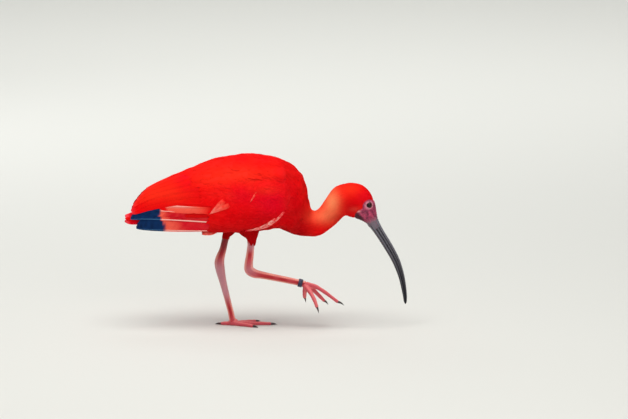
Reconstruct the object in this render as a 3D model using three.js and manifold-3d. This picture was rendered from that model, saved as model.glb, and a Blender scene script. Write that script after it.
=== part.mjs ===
// Scarlet ibis, life size: it walks with its head low, one foot flat on the ground and the other lifted ahead.
// Millimetres. The bird faces +X, its left side is +Y and +Z is up.
// The origin is on the ground, under the middle of the box that holds the whole bird.

import * as THREE from 'three';
import { mergeVertices } from 'three/addons/utils/BufferGeometryUtils.js';
import Module from 'manifold-3d';

const wasm = await Module();
wasm.setup();

// Clear space between two pieces that meet.
const GAP = 0.3;
const RIGHT = -1;
const LEFT = 1;

// The cloak is the outer form of the trunk with both wings folded over it, cut across the body.
// Each row is x, the height of the back, the height of the belly or wing edge, and the half width.
const CLOAK = [
  [-214, 173, 161, 13],
  [-207, 188, 156, 18.5],
  [-196, 201.5, 151, 23],
  [-176, 216, 148, 28.5],
  [-134, 237.5, 147, 38],
  [-85, 255.5, 145.5, 49],
  [-36, 264, 145.5, 57],
  [2, 262, 150, 58.5],
  [30, 253.5, 156, 53],
  [47, 241, 160, 45],
  [57, 223, 164, 35],
  [64, 195, 168, 22],
  [68, 180, 172, 8],
];
const TAIL_TIP_X = CLOAK[0][0];
const BREAST_X = CLOAK.at(-1)[0];
// How far up the section is widest, and how round it is above and below that line.
const WIDEST = 0.44;
const BACK_ROUNDNESS = 0.93;
const BELLY_ROUNDNESS = 0.62;
// The trunk proper ends at the rump, where the tail begins.
const RUMP_X = -130;

// Sections of neck and head in side view: x and z of the upper outline, x and z of the lower, half width.
const NECK_AND_HEAD = [
  [50, 214, 14, 157, 34],
  [66, 188, 41, 141.5, 26],
  [73.5, 177, 66, 137.8, 21],
  [80, 180.3, 84.5, 140.5, 18.6],
  [90, 193, 103.5, 154, 17.6],
  [103, 211.3, 119, 168.3, 18],
  [120, 219.6, 127.5, 167.2, 18.6],
  [133, 221.3, 132.5, 166.3, 18.6],
  [146, 217.4, 138, 164.8, 17.6],
  [157, 205.6, 143.5, 162.8, 15.4],
  [165, 190, 148.5, 160.4, 12.4],
  [168.5, 176, 152.6, 157.9, 9.2],
  [169, 167.4, 154.4, 156.8, 7.2],
];
const NECK_ROOT_END = 1.7;
const NECK_CUTS = [NECK_ROOT_END, 3.1, 4.7, 6.2, NECK_AND_HEAD.length - 1];
// Half the clear space at a cut through the neck, as a share of a section's spacing.
const NECK_CUT_CLEARANCE = 0.01;

// Sections of the bill: x and z of the ridge, x and z of the lower edge, half width.
const BILL = [
  [169, 166.2, 154.6, 156, 6.2],
  [178.1, 147, 166.6, 140.4, 5.3],
  [191.8, 123, 181.4, 117.7, 4.5],
  [203.7, 100.9, 193.7, 96.4, 4],
  [210.6, 76, 202.3, 74, 3.5],
  [214.3, 51.3, 207.8, 50.6, 3],
  [214.5, 38, 210.2, 37.6, 2.1],
  [213.2, 33.8, 212.2, 33.8, 0.8],
];
// The line where the two halves of the bill close, as a share of the depth below the ridge.
const BILL_CLOSING_LINE = 0.56;

// Sections of rump and tail: x and z above, x and z below, half width.
const TAIL = [
  [RUMP_X - GAP, 212, RUMP_X - GAP, 158, 27],
  [-150, 200, -150, 161, 22],
  [-178, 186, -178, 161, 18.5],
  [-203, 174.5, -203, 160, 14.4],
  [TAIL_TIP_X, 168.5, TAIL_TIP_X, 161.5, 10.5],
];

const EYE_RADIUS = 5;
const EYE_X = 156.7;
const EYE_Y = 9.9;
const EYE_Z = 187;

// Legs are rows of x, y, z, depth fore and aft, and width across.
const LEFT_THIGH = [
  [-45, 24, 165, 38, 32],
  [-54.5, 22.5, 147, 22, 20],
  [-60, 21.2, 137, 14, 13],
  [-62, 20.5, 130, 11.2, 10.4],
];
const LEFT_LEG = [
  [-62, 20.5, 130, 10.2, 9.4],
  [-65.5, 19.5, 115, 10.6, 9.6],
  [-69.5, 18.3, 103, 13.2, 11.2],
  [-71, 17.5, 94, 15, 12.4],
  [-69.5, 16.2, 83, 14, 11.4],
  [-66.4, 14, 69, 11.4, 9.6],
  [-62, 11.4, 52, 9.8, 8.6],
  [-57.6, 8.8, 35, 9.2, 8],
  [-53.6, 6.6, 19.5, 9, 8],
  [-51.6, 5.6, 11, 9.8, 9.2],
];
const RIGHT_THIGH = [
  [-34, -27, 165, 48, 34],
  [-27, -26.5, 147, 29.5, 24],
  [-23.2, -26, 137, 17.5, 16],
  [-22.4, -25.5, 128, 11.6, 10.8],
];
const RIGHT_LEG = [
  [-22.4, -25.5, 128, 10.6, 9.8],
  [-24, -25.5, 112, 11.6, 10.2],
  [-25.7, -25.5, 99.5, 12.8, 11.2],
  [-25, -25.4, 90, 14.2, 12.4],
  [-17.8, -25.2, 84.6, 13.8, 12],
  [-7, -25, 82, 11.4, 10.2],
  [12, -25, 78.2, 10.2, 9],
  [34, -25, 73.8, 9.8, 8.4],
  [48, -25, 70.8, 9.4, 8.2],
  [57.5, -25, 68.4, 9.8, 9],
];
const LEFT_LEG_CUTS = [0.1, 1.6, 4.4, LEFT_LEG.length - 1];
const RIGHT_LEG_CUTS = [0.1, 1.7, 4.5, RIGHT_LEG.length - 1];

// The pad under the toe joint: middle, then half length, half width and half height.
const LEFT_PAD = { middle: [-49.6, 5, 4.5], half: [7.6, 7, 6.6] };
const RIGHT_PAD = { middle: [61.6, -25, 66.8], half: [6.6, 6.4, 6.2] };

// Toes of the foot on the ground: bearing from straight ahead, and reach to the tip of the claw.
const GROUND_TOES = {
  middle: { bearing: 1, reach: 67 },
  inner: { bearing: -37, reach: 48 },
  outer: { bearing: 38, reach: 52 },
  hind: { bearing: 172, reach: 29 },
};
const CLAW_LENGTH = 10;
const TOE_DEPTH = 6.2;
const TOE_WIDTH = 6.4;
const CLAW_DEPTH = 3.2;
const CLAW_WIDTH = 2.6;
// A toe pressed on the ground is flattened: its middle lies this share of its depth up.
const TOE_SINK = 0.38;

// Toes of the lifted foot: middles of the toe from the pad out, the last two being the ends of the claw.
const LIFTED_TOES = {
  middle: [[62, -25.5, 68], [76, -26, 64], [90, -26.4, 55.6], [109.5, -27, 40.8], [119.3, -27, 35]],
  inner: [[62, -22, 66], [72, -17.5, 58], [83, -13, 46.5], [89, -11, 40], [95, -9.6, 33.5]],
  outer: [[60, -27, 65], [67, -33, 57.6], [73.6, -39, 46.5], [78, -43, 35], [80.6, -44.6, 26]],
  hind: [[60.4, -24.6, 64], [59.4, -24, 57], [59, -23.6, 51], [59.4, -23.4, 46.4], [61, -23.2, 39]],
};

const RING_MIDDLE_X = 52;
const RING_WIDTH = 6.4;
const RING_INNER_RADIUS = 5.3;
const RING_OUTER_RADIUS = 6.3;

// Colours of the plumage and of the bare parts.
const finishes = {
  scarlet: { color: 0xd8141c, roughness: 0.75, metalness: 0 },
  orange: { color: 0xf0401c, roughness: 0.75, metalness: 0 },
  salmon: { color: 0xf06a58, roughness: 0.7, metalness: 0 },
  navy: { color: 0x14305a, roughness: 0.55, metalness: 0 },
  pinkLeg: { color: 0xd8606a, roughness: 0.5, metalness: 0 },
  horn: { color: 0x5a5560, roughness: 0.45, metalness: 0 },
  claw: { color: 0x4a3436, roughness: 0.45, metalness: 0 },
  eye: { color: 0x1c1214, roughness: 0.1, metalness: 0 },
  ring: { color: 0x1c2034, roughness: 0.35, metalness: 0 },
};

const bird = new THREE.Group();

function addPiece(name, geometry, finish) {
  geometry.computeVertexNormals();
  const mesh = new THREE.Mesh(geometry, new THREE.MeshStandardMaterial(finishes[finish]));
  mesh.name = name;
  bird.add(mesh);
  return mesh;
}

// A row of numbers between the rows of a table, on a smooth curve through them (Catmull-Rom).
function rowAt(rows, place) {
  const first = THREE.MathUtils.clamp(Math.floor(place), 0, rows.length - 2);
  const part = place - first;
  const a = rows[Math.max(first - 1, 0)];
  const b = rows[first];
  const c = rows[first + 1];
  const d = rows[Math.min(first + 2, rows.length - 1)];
  return b.map((value, i) => {
    const bend = 2 * a[i] - 5 * value + 4 * c[i] - d[i];
    const twist = 3 * value - a[i] - 3 * c[i] + d[i];
    return value + 0.5 * part * (c[i] - a[i] + part * (bend + part * twist));
  });
}

// The place along a table whose first column, which rises, is x.
function placeOfX(rows, x) {
  let low = 0;
  let high = rows.length - 1;
  while (high - low > 1e-4) {
    const middle = (low + high) / 2;
    if (rowAt(rows, middle)[0] < x) {
      low = middle;
    } else {
      high = middle;
    }
  }
  return low;
}

// Keeps the places only, joins equal ones, and turns the faces to point outwards.
function closed(geometry) {
  geometry.deleteAttribute('normal');
  geometry.deleteAttribute('uv');
  const merged = mergeVertices(geometry, 1e-4);
  const places = merged.attributes.position;
  const index = merged.index.array;
  const a = new THREE.Vector3();
  const b = new THREE.Vector3();
  const c = new THREE.Vector3();
  let volume = 0;
  for (let i = 0; i < index.length; i += 3) {
    a.fromBufferAttribute(places, index[i]);
    b.fromBufferAttribute(places, index[i + 1]);
    c.fromBufferAttribute(places, index[i + 2]);
    volume += a.dot(b.cross(c));
  }
  if (volume < 0) {
    for (let i = 0; i < index.length; i += 3) {
      [index[i], index[i + 1]] = [index[i + 1], index[i]];
    }
  }
  return merged;
}

function toSolid(geometry) {
  const vertProperties = new Float32Array(geometry.attributes.position.array);
  const triVerts = new Uint32Array(geometry.index.array);
  return new wasm.Manifold(new wasm.Mesh({ numProp: 3, vertProperties, triVerts }));
}

function toGeometry(solid) {
  const mesh = solid.getMesh();
  const geometry = new THREE.BufferGeometry();
  geometry.setAttribute('position', new THREE.BufferAttribute(mesh.vertProperties, 3));
  geometry.setIndex(new THREE.BufferAttribute(mesh.triVerts, 1));
  return geometry;
}

function less(geometry, ...cutters) {
  return toGeometry(cutters.reduce((solid, cutter) => solid.subtract(toSolid(cutter)), toSolid(geometry)));
}

function joined(geometry, other) {
  return toGeometry(toSolid(geometry).add(toSolid(other)));
}

// A closed body from a cylinder whose rings are carried to new places.
// placeOf takes the share along the body, the angle round it from the top, and the share out from its middle.
function carried(sides, rings, placeOf) {
  const geometry = new THREE.CylinderGeometry(1, 1, 1, sides, rings);
  const places = geometry.attributes.position;
  for (let i = 0; i < places.count; i += 1) {
    const along = 0.5 - places.getY(i);
    const out = Math.min(Math.hypot(places.getX(i), places.getZ(i)), 1);
    const angle = Math.atan2(places.getX(i), places.getZ(i));
    places.setXYZ(i, ...placeOf(along, angle, out));
  }
  return closed(geometry);
}

const power = (value, exponent) => Math.sign(value) * Math.abs(value) ** exponent;

// A point on the cloak at x, at an angle from the top, moved in or out by an offset.
function onCloak(x, angle, offset) {
  const [, top, bottom, half] = rowAt(CLOAK, placeOfX(CLOAK, x));
  const middle = THREE.MathUtils.lerp(bottom, top, WIDEST);
  const upper = Math.cos(angle) > 0;
  const roundness = upper ? BACK_ROUNDNESS : BELLY_ROUNDNESS;
  const rise = (upper ? top - middle : middle - bottom) + offset;
  const y = (half + offset) * power(Math.sin(angle), roundness);
  const z = middle + rise * power(Math.cos(angle), roundness);
  return [x, y, z];
}

// The cloak as a closed body from a rear plane to the breast, grown by an offset.
function cloakBody(rearX, sides, rings, offset = 0) {
  return carried(sides, rings, (along, angle, out) => {
    const x = THREE.MathUtils.lerp(rearX, BREAST_X + offset, Math.sin((along * Math.PI) / 2));
    const [, y, z] = onCloak(Math.min(x, BREAST_X), angle, offset);
    const [, top, bottom] = rowAt(CLOAK, placeOfX(CLOAK, x));
    return [x, y * out, THREE.MathUtils.lerp((top + bottom) / 2, z, out)];
  });
}

// A body of the middle plane, such as the neck: rows hold the upper outline, the lower outline and half width.
// share picks the part of the depth that the body takes, counted down from the upper outline.
function profiled(rows, from, to, sides, rings, share = [0, 1]) {
  return carried(sides, rings, (along, angle, out) => {
    const [topX, topZ, lowX, lowZ, half] = rowAt(rows, THREE.MathUtils.lerp(from, to, along));
    const top = new THREE.Vector2(topX, topZ);
    const low = new THREE.Vector2(lowX, lowZ);
    const upper = top.clone().lerp(low, share[0]);
    const under = top.clone().lerp(low, share[1]);
    const place = under.lerp(upper, 0.5 + 0.5 * out * Math.cos(angle));
    return [place.x, out * half * Math.sin(angle), place.y];
  });
}

// A limb carried along rows of x, y, z, depth and width. across is the direction of its width.
function limb(rows, from, to, sides, rings, across, floor = -Infinity) {
  return carried(sides, rings, (along, angle, out) => {
    const place = THREE.MathUtils.lerp(from, to, along);
    const [x, y, z, depth, width] = rowAt(rows, place);
    const ahead = new THREE.Vector3(...rowAt(rows, place + 0.01));
    const behind = new THREE.Vector3(...rowAt(rows, place - 0.01));
    const direction = ahead.sub(behind).normalize();
    const side = across.clone().addScaledVector(direction, -across.dot(direction)).normalize();
    const front = new THREE.Vector3().crossVectors(side, direction);
    const point = new THREE.Vector3(x, y, z);
    point.addScaledVector(side, 0.5 * out * width * Math.sin(angle));
    point.addScaledVector(front, 0.5 * out * depth * Math.cos(angle));
    return [point.x, point.y, Math.max(point.z, floor)];
  });
}

function ellipsoid(middle, half, floor = -Infinity) {
  const geometry = new THREE.SphereGeometry(1, 14, 8);
  geometry.rotateX(Math.PI / 2);
  geometry.scale(...half);
  geometry.translate(...middle);
  const places = geometry.attributes.position;
  for (let i = 0; i < places.count; i += 1) {
    places.setZ(i, Math.max(places.getZ(i), floor));
  }
  return closed(geometry);
}

// Wings
// A wing piece is a patch of the cloak with a thickness, between two x and two edge lines.
// An edge line is a table of x and the angle from the top of the back, in degrees.
const MIDLINE_EDGE = [[-214, 1.5], [-137, 1.5], [-112, 8], [-60, 13], [40, 15]];
const CREASE_EDGE = [[-214, 60], [-130, 60], [-17, 60], [14, 60], [45, 72]];
const TIP_EDGE = [[-214, 92], [-150, 90], [-88, 96], [45, 96]];
const LOWER_EDGE = [[-214, 128], [-165, 139], [-60, 144], [-13, 146], [7, 145], [20, 133], [29, 108], [38, 90]];
const WING_FRONT_X = 38;
const COVERTS_X = -26;
const FLIGHT_X = -88;
const SCAPULAR_FRONT_X = 34;
const TERTIAL_X = -112;
const DARK_TIP_X = -158;
const TERTIAL_END_X = -206;
const TIP_END_X = -207.5;
const WING_THICKNESS_FRONT = 8;
const WING_THICKNESS_TIP = 2.4;
// Half the clear space along the curved edges of a wing piece.
const WING_SEAM = 0.7;

const edgeAngle = (edge, x) => THREE.MathUtils.degToRad(rowAt(edge, placeOfX(edge, x))[1]);

function wingThickness(x) {
  return THREE.MathUtils.mapLinear(x, WING_FRONT_X, TAIL_TIP_X, WING_THICKNESS_FRONT, WING_THICKNESS_TIP);
}

// A box of small cells is bent onto the cloak: its length runs fore and aft, its height from edge to edge.
// grow widens the patch all round, and outwards most, which gives the cutter for the trunk under it.
const CUTTER_OVERSHOOT = 4;
function wingPatch(side, frontX, rearX, upperEdge, lowerEdge, cells, grow = 0) {
  const geometry = new THREE.BoxGeometry(1, 1, 1, cells[0], cells[1], 1);
  const places = geometry.attributes.position;
  for (let i = 0; i < places.count; i += 1) {
    const x = THREE.MathUtils.lerp(rearX - grow, frontX + grow, places.getX(i) + 0.5);
    const half = rowAt(CLOAK, placeOfX(CLOAK, x))[3];
    const margin = (WING_SEAM - grow) / half;
    const upper = edgeAngle(upperEdge, x) + margin;
    const lower = edgeAngle(lowerEdge, x) - margin;
    const angle = THREE.MathUtils.lerp(lower, upper, places.getY(i) + 0.5);
    const inner = places.getZ(i) < 0;
    const offset = inner ? -wingThickness(x) - grow : grow * CUTTER_OVERSHOOT;
    const [, y, z] = onCloak(x, angle, offset);
    places.setXYZ(i, x, side * y, z);
  }
  return closed(geometry);
}

const WING_PIECES = [
  ['scapulars', SCAPULAR_FRONT_X, TERTIAL_X, MIDLINE_EDGE, CREASE_EDGE, [9, 4], 'scarlet'],
  ['shoulder', WING_FRONT_X, COVERTS_X, CREASE_EDGE, LOWER_EDGE, [8, 5], 'scarlet'],
  ['coverts', COVERTS_X - GAP, FLIGHT_X, CREASE_EDGE, LOWER_EDGE, [4, 5], 'scarlet'],
  ['secondaries', FLIGHT_X - GAP, TERTIAL_X, CREASE_EDGE, TIP_EDGE, [2, 4], 'scarlet'],
  ['tertials', TERTIAL_X - GAP, TERTIAL_END_X, MIDLINE_EDGE, TIP_EDGE, [8, 8], 'orange'],
  ['primaries', FLIGHT_X - GAP, DARK_TIP_X, TIP_EDGE, LOWER_EDGE, [6, 4], 'salmon'],
  ['tip', DARK_TIP_X - GAP, TIP_END_X, TIP_EDGE, LOWER_EDGE, [4, 4], 'navy'],
];

const UNDER_WING_CLEARANCE = 1.5;
const PAST_RUMP_X = RUMP_X - 3;
const wingCutters = [];
for (const [side, word] of [[RIGHT, 'right'], [LEFT, 'left']]) {
  for (const [name, frontX, rearX, upper, lower, cells, finish] of WING_PIECES) {
    addPiece(`wing_${word}_${name}`, wingPatch(side, frontX, rearX, upper, lower, cells), finish);
  }
  const clear = UNDER_WING_CLEARANCE;
  wingCutters.push(wingPatch(side, SCAPULAR_FRONT_X, PAST_RUMP_X, MIDLINE_EDGE, CREASE_EDGE, [9, 4], clear));
  wingCutters.push(wingPatch(side, WING_FRONT_X, COVERTS_X, CREASE_EDGE, LOWER_EDGE, [8, 5], clear));
  wingCutters.push(wingPatch(side, COVERTS_X, PAST_RUMP_X, CREASE_EDGE, LOWER_EDGE, [7, 5], clear));
}

// Trunk, neck and head
const NECK_SIDES = 20;
const neckRoot = profiled(NECK_AND_HEAD, 0, NECK_ROOT_END - NECK_CUT_CLEARANCE, NECK_SIDES, 4);
const wholeTrunk = joined(cloakBody(RUMP_X, 28, 14), neckRoot);
addPiece('trunk', less(wholeTrunk, ...wingCutters), 'scarlet');

const grownCloak = cloakBody(RUMP_X, 28, 14, GAP);
for (const [i, name] of ['neck_lower', 'neck_middle', 'neck_upper'].entries()) {
  const from = NECK_CUTS[i] + NECK_CUT_CLEARANCE;
  const to = NECK_CUTS[i + 1] - NECK_CUT_CLEARANCE;
  const piece = profiled(NECK_AND_HEAD, from, to, NECK_SIDES, 3);
  addPiece(name, i === 0 ? less(piece, grownCloak) : piece, 'orange');
}

const headBlank = profiled(NECK_AND_HEAD, NECK_CUTS[3] + NECK_CUT_CLEARANCE, NECK_CUTS[4], NECK_SIDES, 10);
const sockets = [RIGHT, LEFT].map((side) => {
  const hollow = EYE_RADIUS + GAP;
  return ellipsoid([EYE_X, side * EYE_Y, EYE_Z], [hollow, hollow, hollow]);
});
addPiece('head', less(headBlank, ...sockets), 'scarlet');

for (const [side, word] of [[RIGHT, 'right'], [LEFT, 'left']]) {
  const eye = addPiece(`eye_${word}`, ellipsoid([0, 0, 0], [EYE_RADIUS, EYE_RADIUS, EYE_RADIUS]), 'eye');
  eye.position.set(EYE_X, side * EYE_Y, EYE_Z);
}

// Bill and tail
const BILL_START = 0.02;
const BILL_END = BILL.length - 1;
const CLOSING_CLEARANCE = 0.02;
const upperShare = [0, BILL_CLOSING_LINE - CLOSING_CLEARANCE];
const lowerShare = [BILL_CLOSING_LINE + CLOSING_CLEARANCE, 1];
addPiece('bill_upper', profiled(BILL, BILL_START, BILL_END, 10, 10, upperShare), 'horn');
addPiece('bill_lower', profiled(BILL, BILL_START, BILL_END, 10, 10, lowerShare), 'horn');
addPiece('tail', profiled(TAIL, 0, TAIL.length - 1, 16, 6), 'scarlet');

// Legs
const ACROSS = new THREE.Vector3(0, 1, 0);
const JOINT_CLEARANCE = 0.015;

function leg(word, thigh, rows, cuts, pad, floor) {
  const sleeve = limb(thigh, 0, thigh.length - 1, 14, 4, ACROSS);
  addPiece(`thigh_${word}`, less(sleeve, grownCloak), 'scarlet');
  const padGrown = ellipsoid(pad.middle, pad.half.map((size) => size + GAP));
  for (const [i, name] of ['shank', 'hock', 'tarsus'].entries()) {
    const from = cuts[i] + JOINT_CLEARANCE;
    const to = cuts[i + 1] - JOINT_CLEARANCE;
    const piece = limb(rows, from, to, 12, i === 0 ? 3 : 5, ACROSS);
    addPiece(`${name}_${word}`, i === 2 ? less(piece, padGrown) : piece, 'pinkLeg');
  }
  addPiece(`foot_${word}`, ellipsoid(pad.middle, pad.half, floor), 'pinkLeg');
  return [padGrown];
}

// A claw narrows to this share of its root, and starts clear of the toe.
const CLAW_TIP_SHARE = 0.2;
const CLAW_START = 0.03;

// A toe is cut clear of the pad and of the toes made before it; their grown forms are in cutters.
function toe(word, name, rows, cutters, floor) {
  const [start, end] = [rows[0], rows.at(-1)];
  const across = new THREE.Vector3(start[1] - end[1], end[0] - start[0], 0).normalize();
  const clawPlace = rows.length - 2;
  const toePiece = limb(rows, 0, clawPlace - JOINT_CLEARANCE, 10, 4, across, floor);
  addPiece(`toe_${name}_${word}`, less(toePiece, ...cutters), 'pinkLeg');
  const grownRows = rows.map(([x, y, z, depth, width]) => [x, y, z, depth + 2 * GAP, width + 2 * GAP]);
  cutters.push(limb(grownRows, 0, clawPlace, 10, 4, across));
  const clawRows = rows.slice(-2);
  clawRows[0] = [...clawRows[0].slice(0, 3), CLAW_DEPTH, CLAW_WIDTH];
  clawRows[1] = [...clawRows[1].slice(0, 3), CLAW_DEPTH * CLAW_TIP_SHARE, CLAW_WIDTH * CLAW_TIP_SHARE];
  addPiece(`claw_${name}_${word}`, limb(clawRows, CLAW_START, 1, 6, 2, across, floor), 'claw');
}

// A toe tapers by this share from its root to its claw.
const TOE_TAPER = 0.26;

function toeRow(place, share) {
  const size = 1 - TOE_TAPER * share;
  return [...place, TOE_DEPTH * size, TOE_WIDTH * size];
}

const leftCutters = leg('left', LEFT_THIGH, LEFT_LEG, LEFT_LEG_CUTS, LEFT_PAD, 0);
for (const [name, { bearing, reach }] of Object.entries(GROUND_TOES)) {
  const turn = THREE.MathUtils.degToRad(bearing);
  const fleshReach = reach - CLAW_LENGTH;
  const rows = [0, 0.33, 0.67, 1].map((share) => {
    const row = toeRow([0, 0, 0], share);
    row[0] = LEFT_PAD.middle[0] + Math.cos(turn) * fleshReach * share;
    row[1] = LEFT_PAD.middle[1] + Math.sin(turn) * fleshReach * share;
    row[2] = row[3] * TOE_SINK;
    return row;
  });
  const tipX = LEFT_PAD.middle[0] + Math.cos(turn) * reach;
  const tipY = LEFT_PAD.middle[1] + Math.sin(turn) * reach;
  rows.push([tipX, tipY, CLAW_DEPTH * CLAW_TIP_SHARE, 0, 0]);
  toe('left', name, rows, leftCutters, 0);
}

const rightCutters = leg('right', RIGHT_THIGH, RIGHT_LEG, RIGHT_LEG_CUTS, RIGHT_PAD, -Infinity);
for (const [name, places] of Object.entries(LIFTED_TOES)) {
  const rows = places.map((place, i) => toeRow(place, i / (places.length - 2)));
  toe('right', name, rows, rightCutters, -Infinity);
}

// Leg ring on the lifted leg: a band closed on itself, turned onto the line of the tarsus.
const ringProfile = [
  [RING_INNER_RADIUS, -0.5], [RING_OUTER_RADIUS, -0.5], [RING_OUTER_RADIUS, 0.5],
  [RING_INNER_RADIUS, 0.5], [RING_INNER_RADIUS, -0.5],
].map(([radius, share]) => new THREE.Vector2(radius, share * RING_WIDTH));
const ring = addPiece('leg_ring_right', closed(new THREE.LatheGeometry(ringProfile, 20)), 'ring');
const [shinBack, shinFront] = RIGHT_LEG.slice(-2).map((row) => new THREE.Vector3(...row));
const shinLine = shinFront.clone().sub(shinBack);
const ringShare = (RING_MIDDLE_X - shinBack.x) / shinLine.x;
ring.position.copy(shinBack).addScaledVector(shinLine, ringShare);
ring.quaternion.setFromUnitVectors(ACROSS, shinLine.clone().normalize());

// The origin goes to the ground under the middle of the bird's box.
bird.updateMatrixWorld(true);
const box = new THREE.Box3().setFromObject(bird);
const model = new THREE.Group();
bird.position.set(-(box.min.x + box.max.x) / 2, -(box.min.y + box.max.y) / 2, -box.min.z);
model.add(bird);

export default model;
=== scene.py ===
# %% [markdown]
# # A scarlet ibis, feather by feather
# This lesson dresses the solid model of a scarlet ibis with skin, horn and plumage. The bird walks with
# its head low and one foot lifted. Lengths are in millimetres, as on the bird, and turn into metres only
# when a mesh is made.

import bpy
import numpy as np
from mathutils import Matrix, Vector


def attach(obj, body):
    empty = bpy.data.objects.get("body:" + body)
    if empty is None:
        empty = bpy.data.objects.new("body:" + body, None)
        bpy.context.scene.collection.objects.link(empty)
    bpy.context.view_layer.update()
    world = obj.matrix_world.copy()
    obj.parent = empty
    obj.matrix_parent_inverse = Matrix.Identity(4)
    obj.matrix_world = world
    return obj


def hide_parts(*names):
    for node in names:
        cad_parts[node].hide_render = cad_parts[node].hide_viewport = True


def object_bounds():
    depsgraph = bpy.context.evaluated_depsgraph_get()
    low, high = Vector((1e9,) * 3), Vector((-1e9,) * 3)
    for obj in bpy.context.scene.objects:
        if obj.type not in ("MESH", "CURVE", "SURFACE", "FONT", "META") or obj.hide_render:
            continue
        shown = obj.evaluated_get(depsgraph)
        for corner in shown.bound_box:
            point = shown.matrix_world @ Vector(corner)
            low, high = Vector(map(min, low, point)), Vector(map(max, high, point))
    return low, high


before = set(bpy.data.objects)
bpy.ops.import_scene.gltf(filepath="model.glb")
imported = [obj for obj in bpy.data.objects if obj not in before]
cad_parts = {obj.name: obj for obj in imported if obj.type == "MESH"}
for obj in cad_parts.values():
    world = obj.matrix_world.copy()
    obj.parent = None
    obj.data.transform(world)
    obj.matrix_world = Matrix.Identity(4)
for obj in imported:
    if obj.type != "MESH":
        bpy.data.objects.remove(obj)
cad_box = [[float(value) for value in corner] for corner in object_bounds()]
MM = 0.001
TAIL_TIP_X = -214.0
# The tables below count x from the bird's own middle; the box is centred, so both differ by a small step.
SHIFT_X = cad_box[0][0] / MM - TAIL_TIP_X
RIGHT, LEFT = -1, 1
SIDES = {"right": RIGHT, "left": LEFT}
print("box in metres:", cad_box, "shift in mm:", round(SHIFT_X, 3))

# %% [markdown]
# ## The camera
# A long lens from the bird's right, a little above it, shows hardly any perspective. It is placed by the
# point that the picture's middle looks at, by the distance and by the height angle.

# %% The camera
LENS_MM, SENSOR_MM = 300, 36
CAMERA_DISTANCE = 7.955
CAMERA_ELEVATION = np.radians(8.0)
LOOK_AT = np.array([0.0730, 0.0, 0.1788])
lens = bpy.data.cameras.new("camera")
lens.sensor_width = SENSOR_MM
lens.lens = LENS_MM
lens.clip_end = 60
camera = bpy.data.objects.new("camera", lens)
bpy.context.scene.collection.objects.link(camera)
away = np.array([0, -np.cos(CAMERA_ELEVATION), np.sin(CAMERA_ELEVATION)])
camera.location = LOOK_AT + CAMERA_DISTANCE * away
camera.rotation_euler = (np.pi / 2 - CAMERA_ELEVATION, 0, 0)
bpy.context.scene.camera = camera
# Scarlet plumage is close to a pure colour, which only the plain view transform keeps.
bpy.context.scene.view_settings.view_transform = "Standard"
print("camera at", [round(v, 3) for v in camera.location])

# %% [markdown]
# ## Colours
# Colours are picked as sRGB hex values and made linear once. Each piece then carries its colours in an
# attribute called tint, one value for each vertex, because feathers change colour from root to tip and
# from tract to tract.

# %% Colours


def linear(hex_colour):
    """Linear light from sRGB: a channel c over 0.04045 becomes ((c + 0.055) / 1.055) to the power 2.4."""
    channels = np.array([int(hex_colour[k : k + 2], 16) / 255 for k in (1, 3, 5)])
    return np.where(channels <= 0.04045, channels / 12.92, ((channels + 0.055) / 1.055) ** 2.4)


SCARLET = linear("#f2040a")
# Orange is a little random tone, and painted highlight where the light from above falls.
ORANGE = linear("#ff3a1c")
CRIMSON = linear("#e80028")
# Deep red is painted shade on the belly, the thighs, the lower side and under covering feathers, and the own
# red of some feathers and of the legs' tops.
DEEP_RED = linear("#ac0008")
# Orange of a painted highlight on the upper neck.
NAPE_HIGHLIGHT = linear("#ff8a5a")
ROSE = linear("#ff5560")
SALMON = linear("#ff6450")
SHELL_PINK = linear("#ffc4b8")
NAVY = linear("#0a2c58")
SHAFT_BLUE = linear("#3c6a94")
FACE_PINK = linear("#c4486a")
FACE_MAUVE = linear("#742442")
LID_PINK = linear("#e49aaa")
GAPE_PINK = linear("#f8aca0")
CHIN_MAROON = linear("#3a0616")
LEG_PINK = linear("#dd606a")
LEG_EDGE = linear("#ffae9e")
LEG_RED = linear("#b8262e")
LEG_MAUVE = linear("#c89aa4")
LEG_SHADE = linear("#70282e")
HORN_GREY = linear("#6e6b74")
HORN_DARK = linear("#1d1f24")
GROOVE_SHADE = linear("#141217")
HORN_ROSY = linear("#8d6a78")


def mix(first, second, share):
    """first where share is 0, second where it is 1, and even steps between."""
    share = np.clip(np.asarray(share, float), 0, 1)[..., None]
    return first * (1 - share) + second * share


def ease(value, start, end):
    """0 before start, 1 after end, and the smooth cubic 3t^2 - 2t^3 between."""
    t = np.clip((np.asarray(value, float) - start) / (end - start), 0, 1)
    return t * t * (3 - 2 * t)


def bell(value, middle, reach):
    """The Gaussian exp(-((value - middle) / reach)^2)."""
    return np.exp(-(((value - middle) / reach) ** 2))


WAVES = 12
# The sum of so many waves mostly stays within this.
WAVES_PEAK = 3.5


def mottle(points, size, seed):
    """Smooth unevenness, about -1 to 1: a sum of sine waves about size mm long in random directions."""
    chance = np.random.default_rng(seed)
    runs = chance.normal(size=(3, WAVES))
    runs *= 2 * np.pi / size / np.linalg.norm(runs, axis=0) * chance.uniform(0.6, 1.5, WAVES)
    return np.sin(points @ runs + chance.uniform(0, 2 * np.pi, WAVES)).sum(-1) / WAVES_PEAK


print("scarlet in linear light:", SCARLET.round(3))

# %% [markdown]
# ## From arrays to a mesh
# Every new piece is arrays first. A tube is the common form: rings of points, quads between neighbouring
# rings, and a fan of triangles that closes each end. A feather is a very flat tube, so one function makes
# the faces of them all.

# %% From arrays to a mesh


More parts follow.
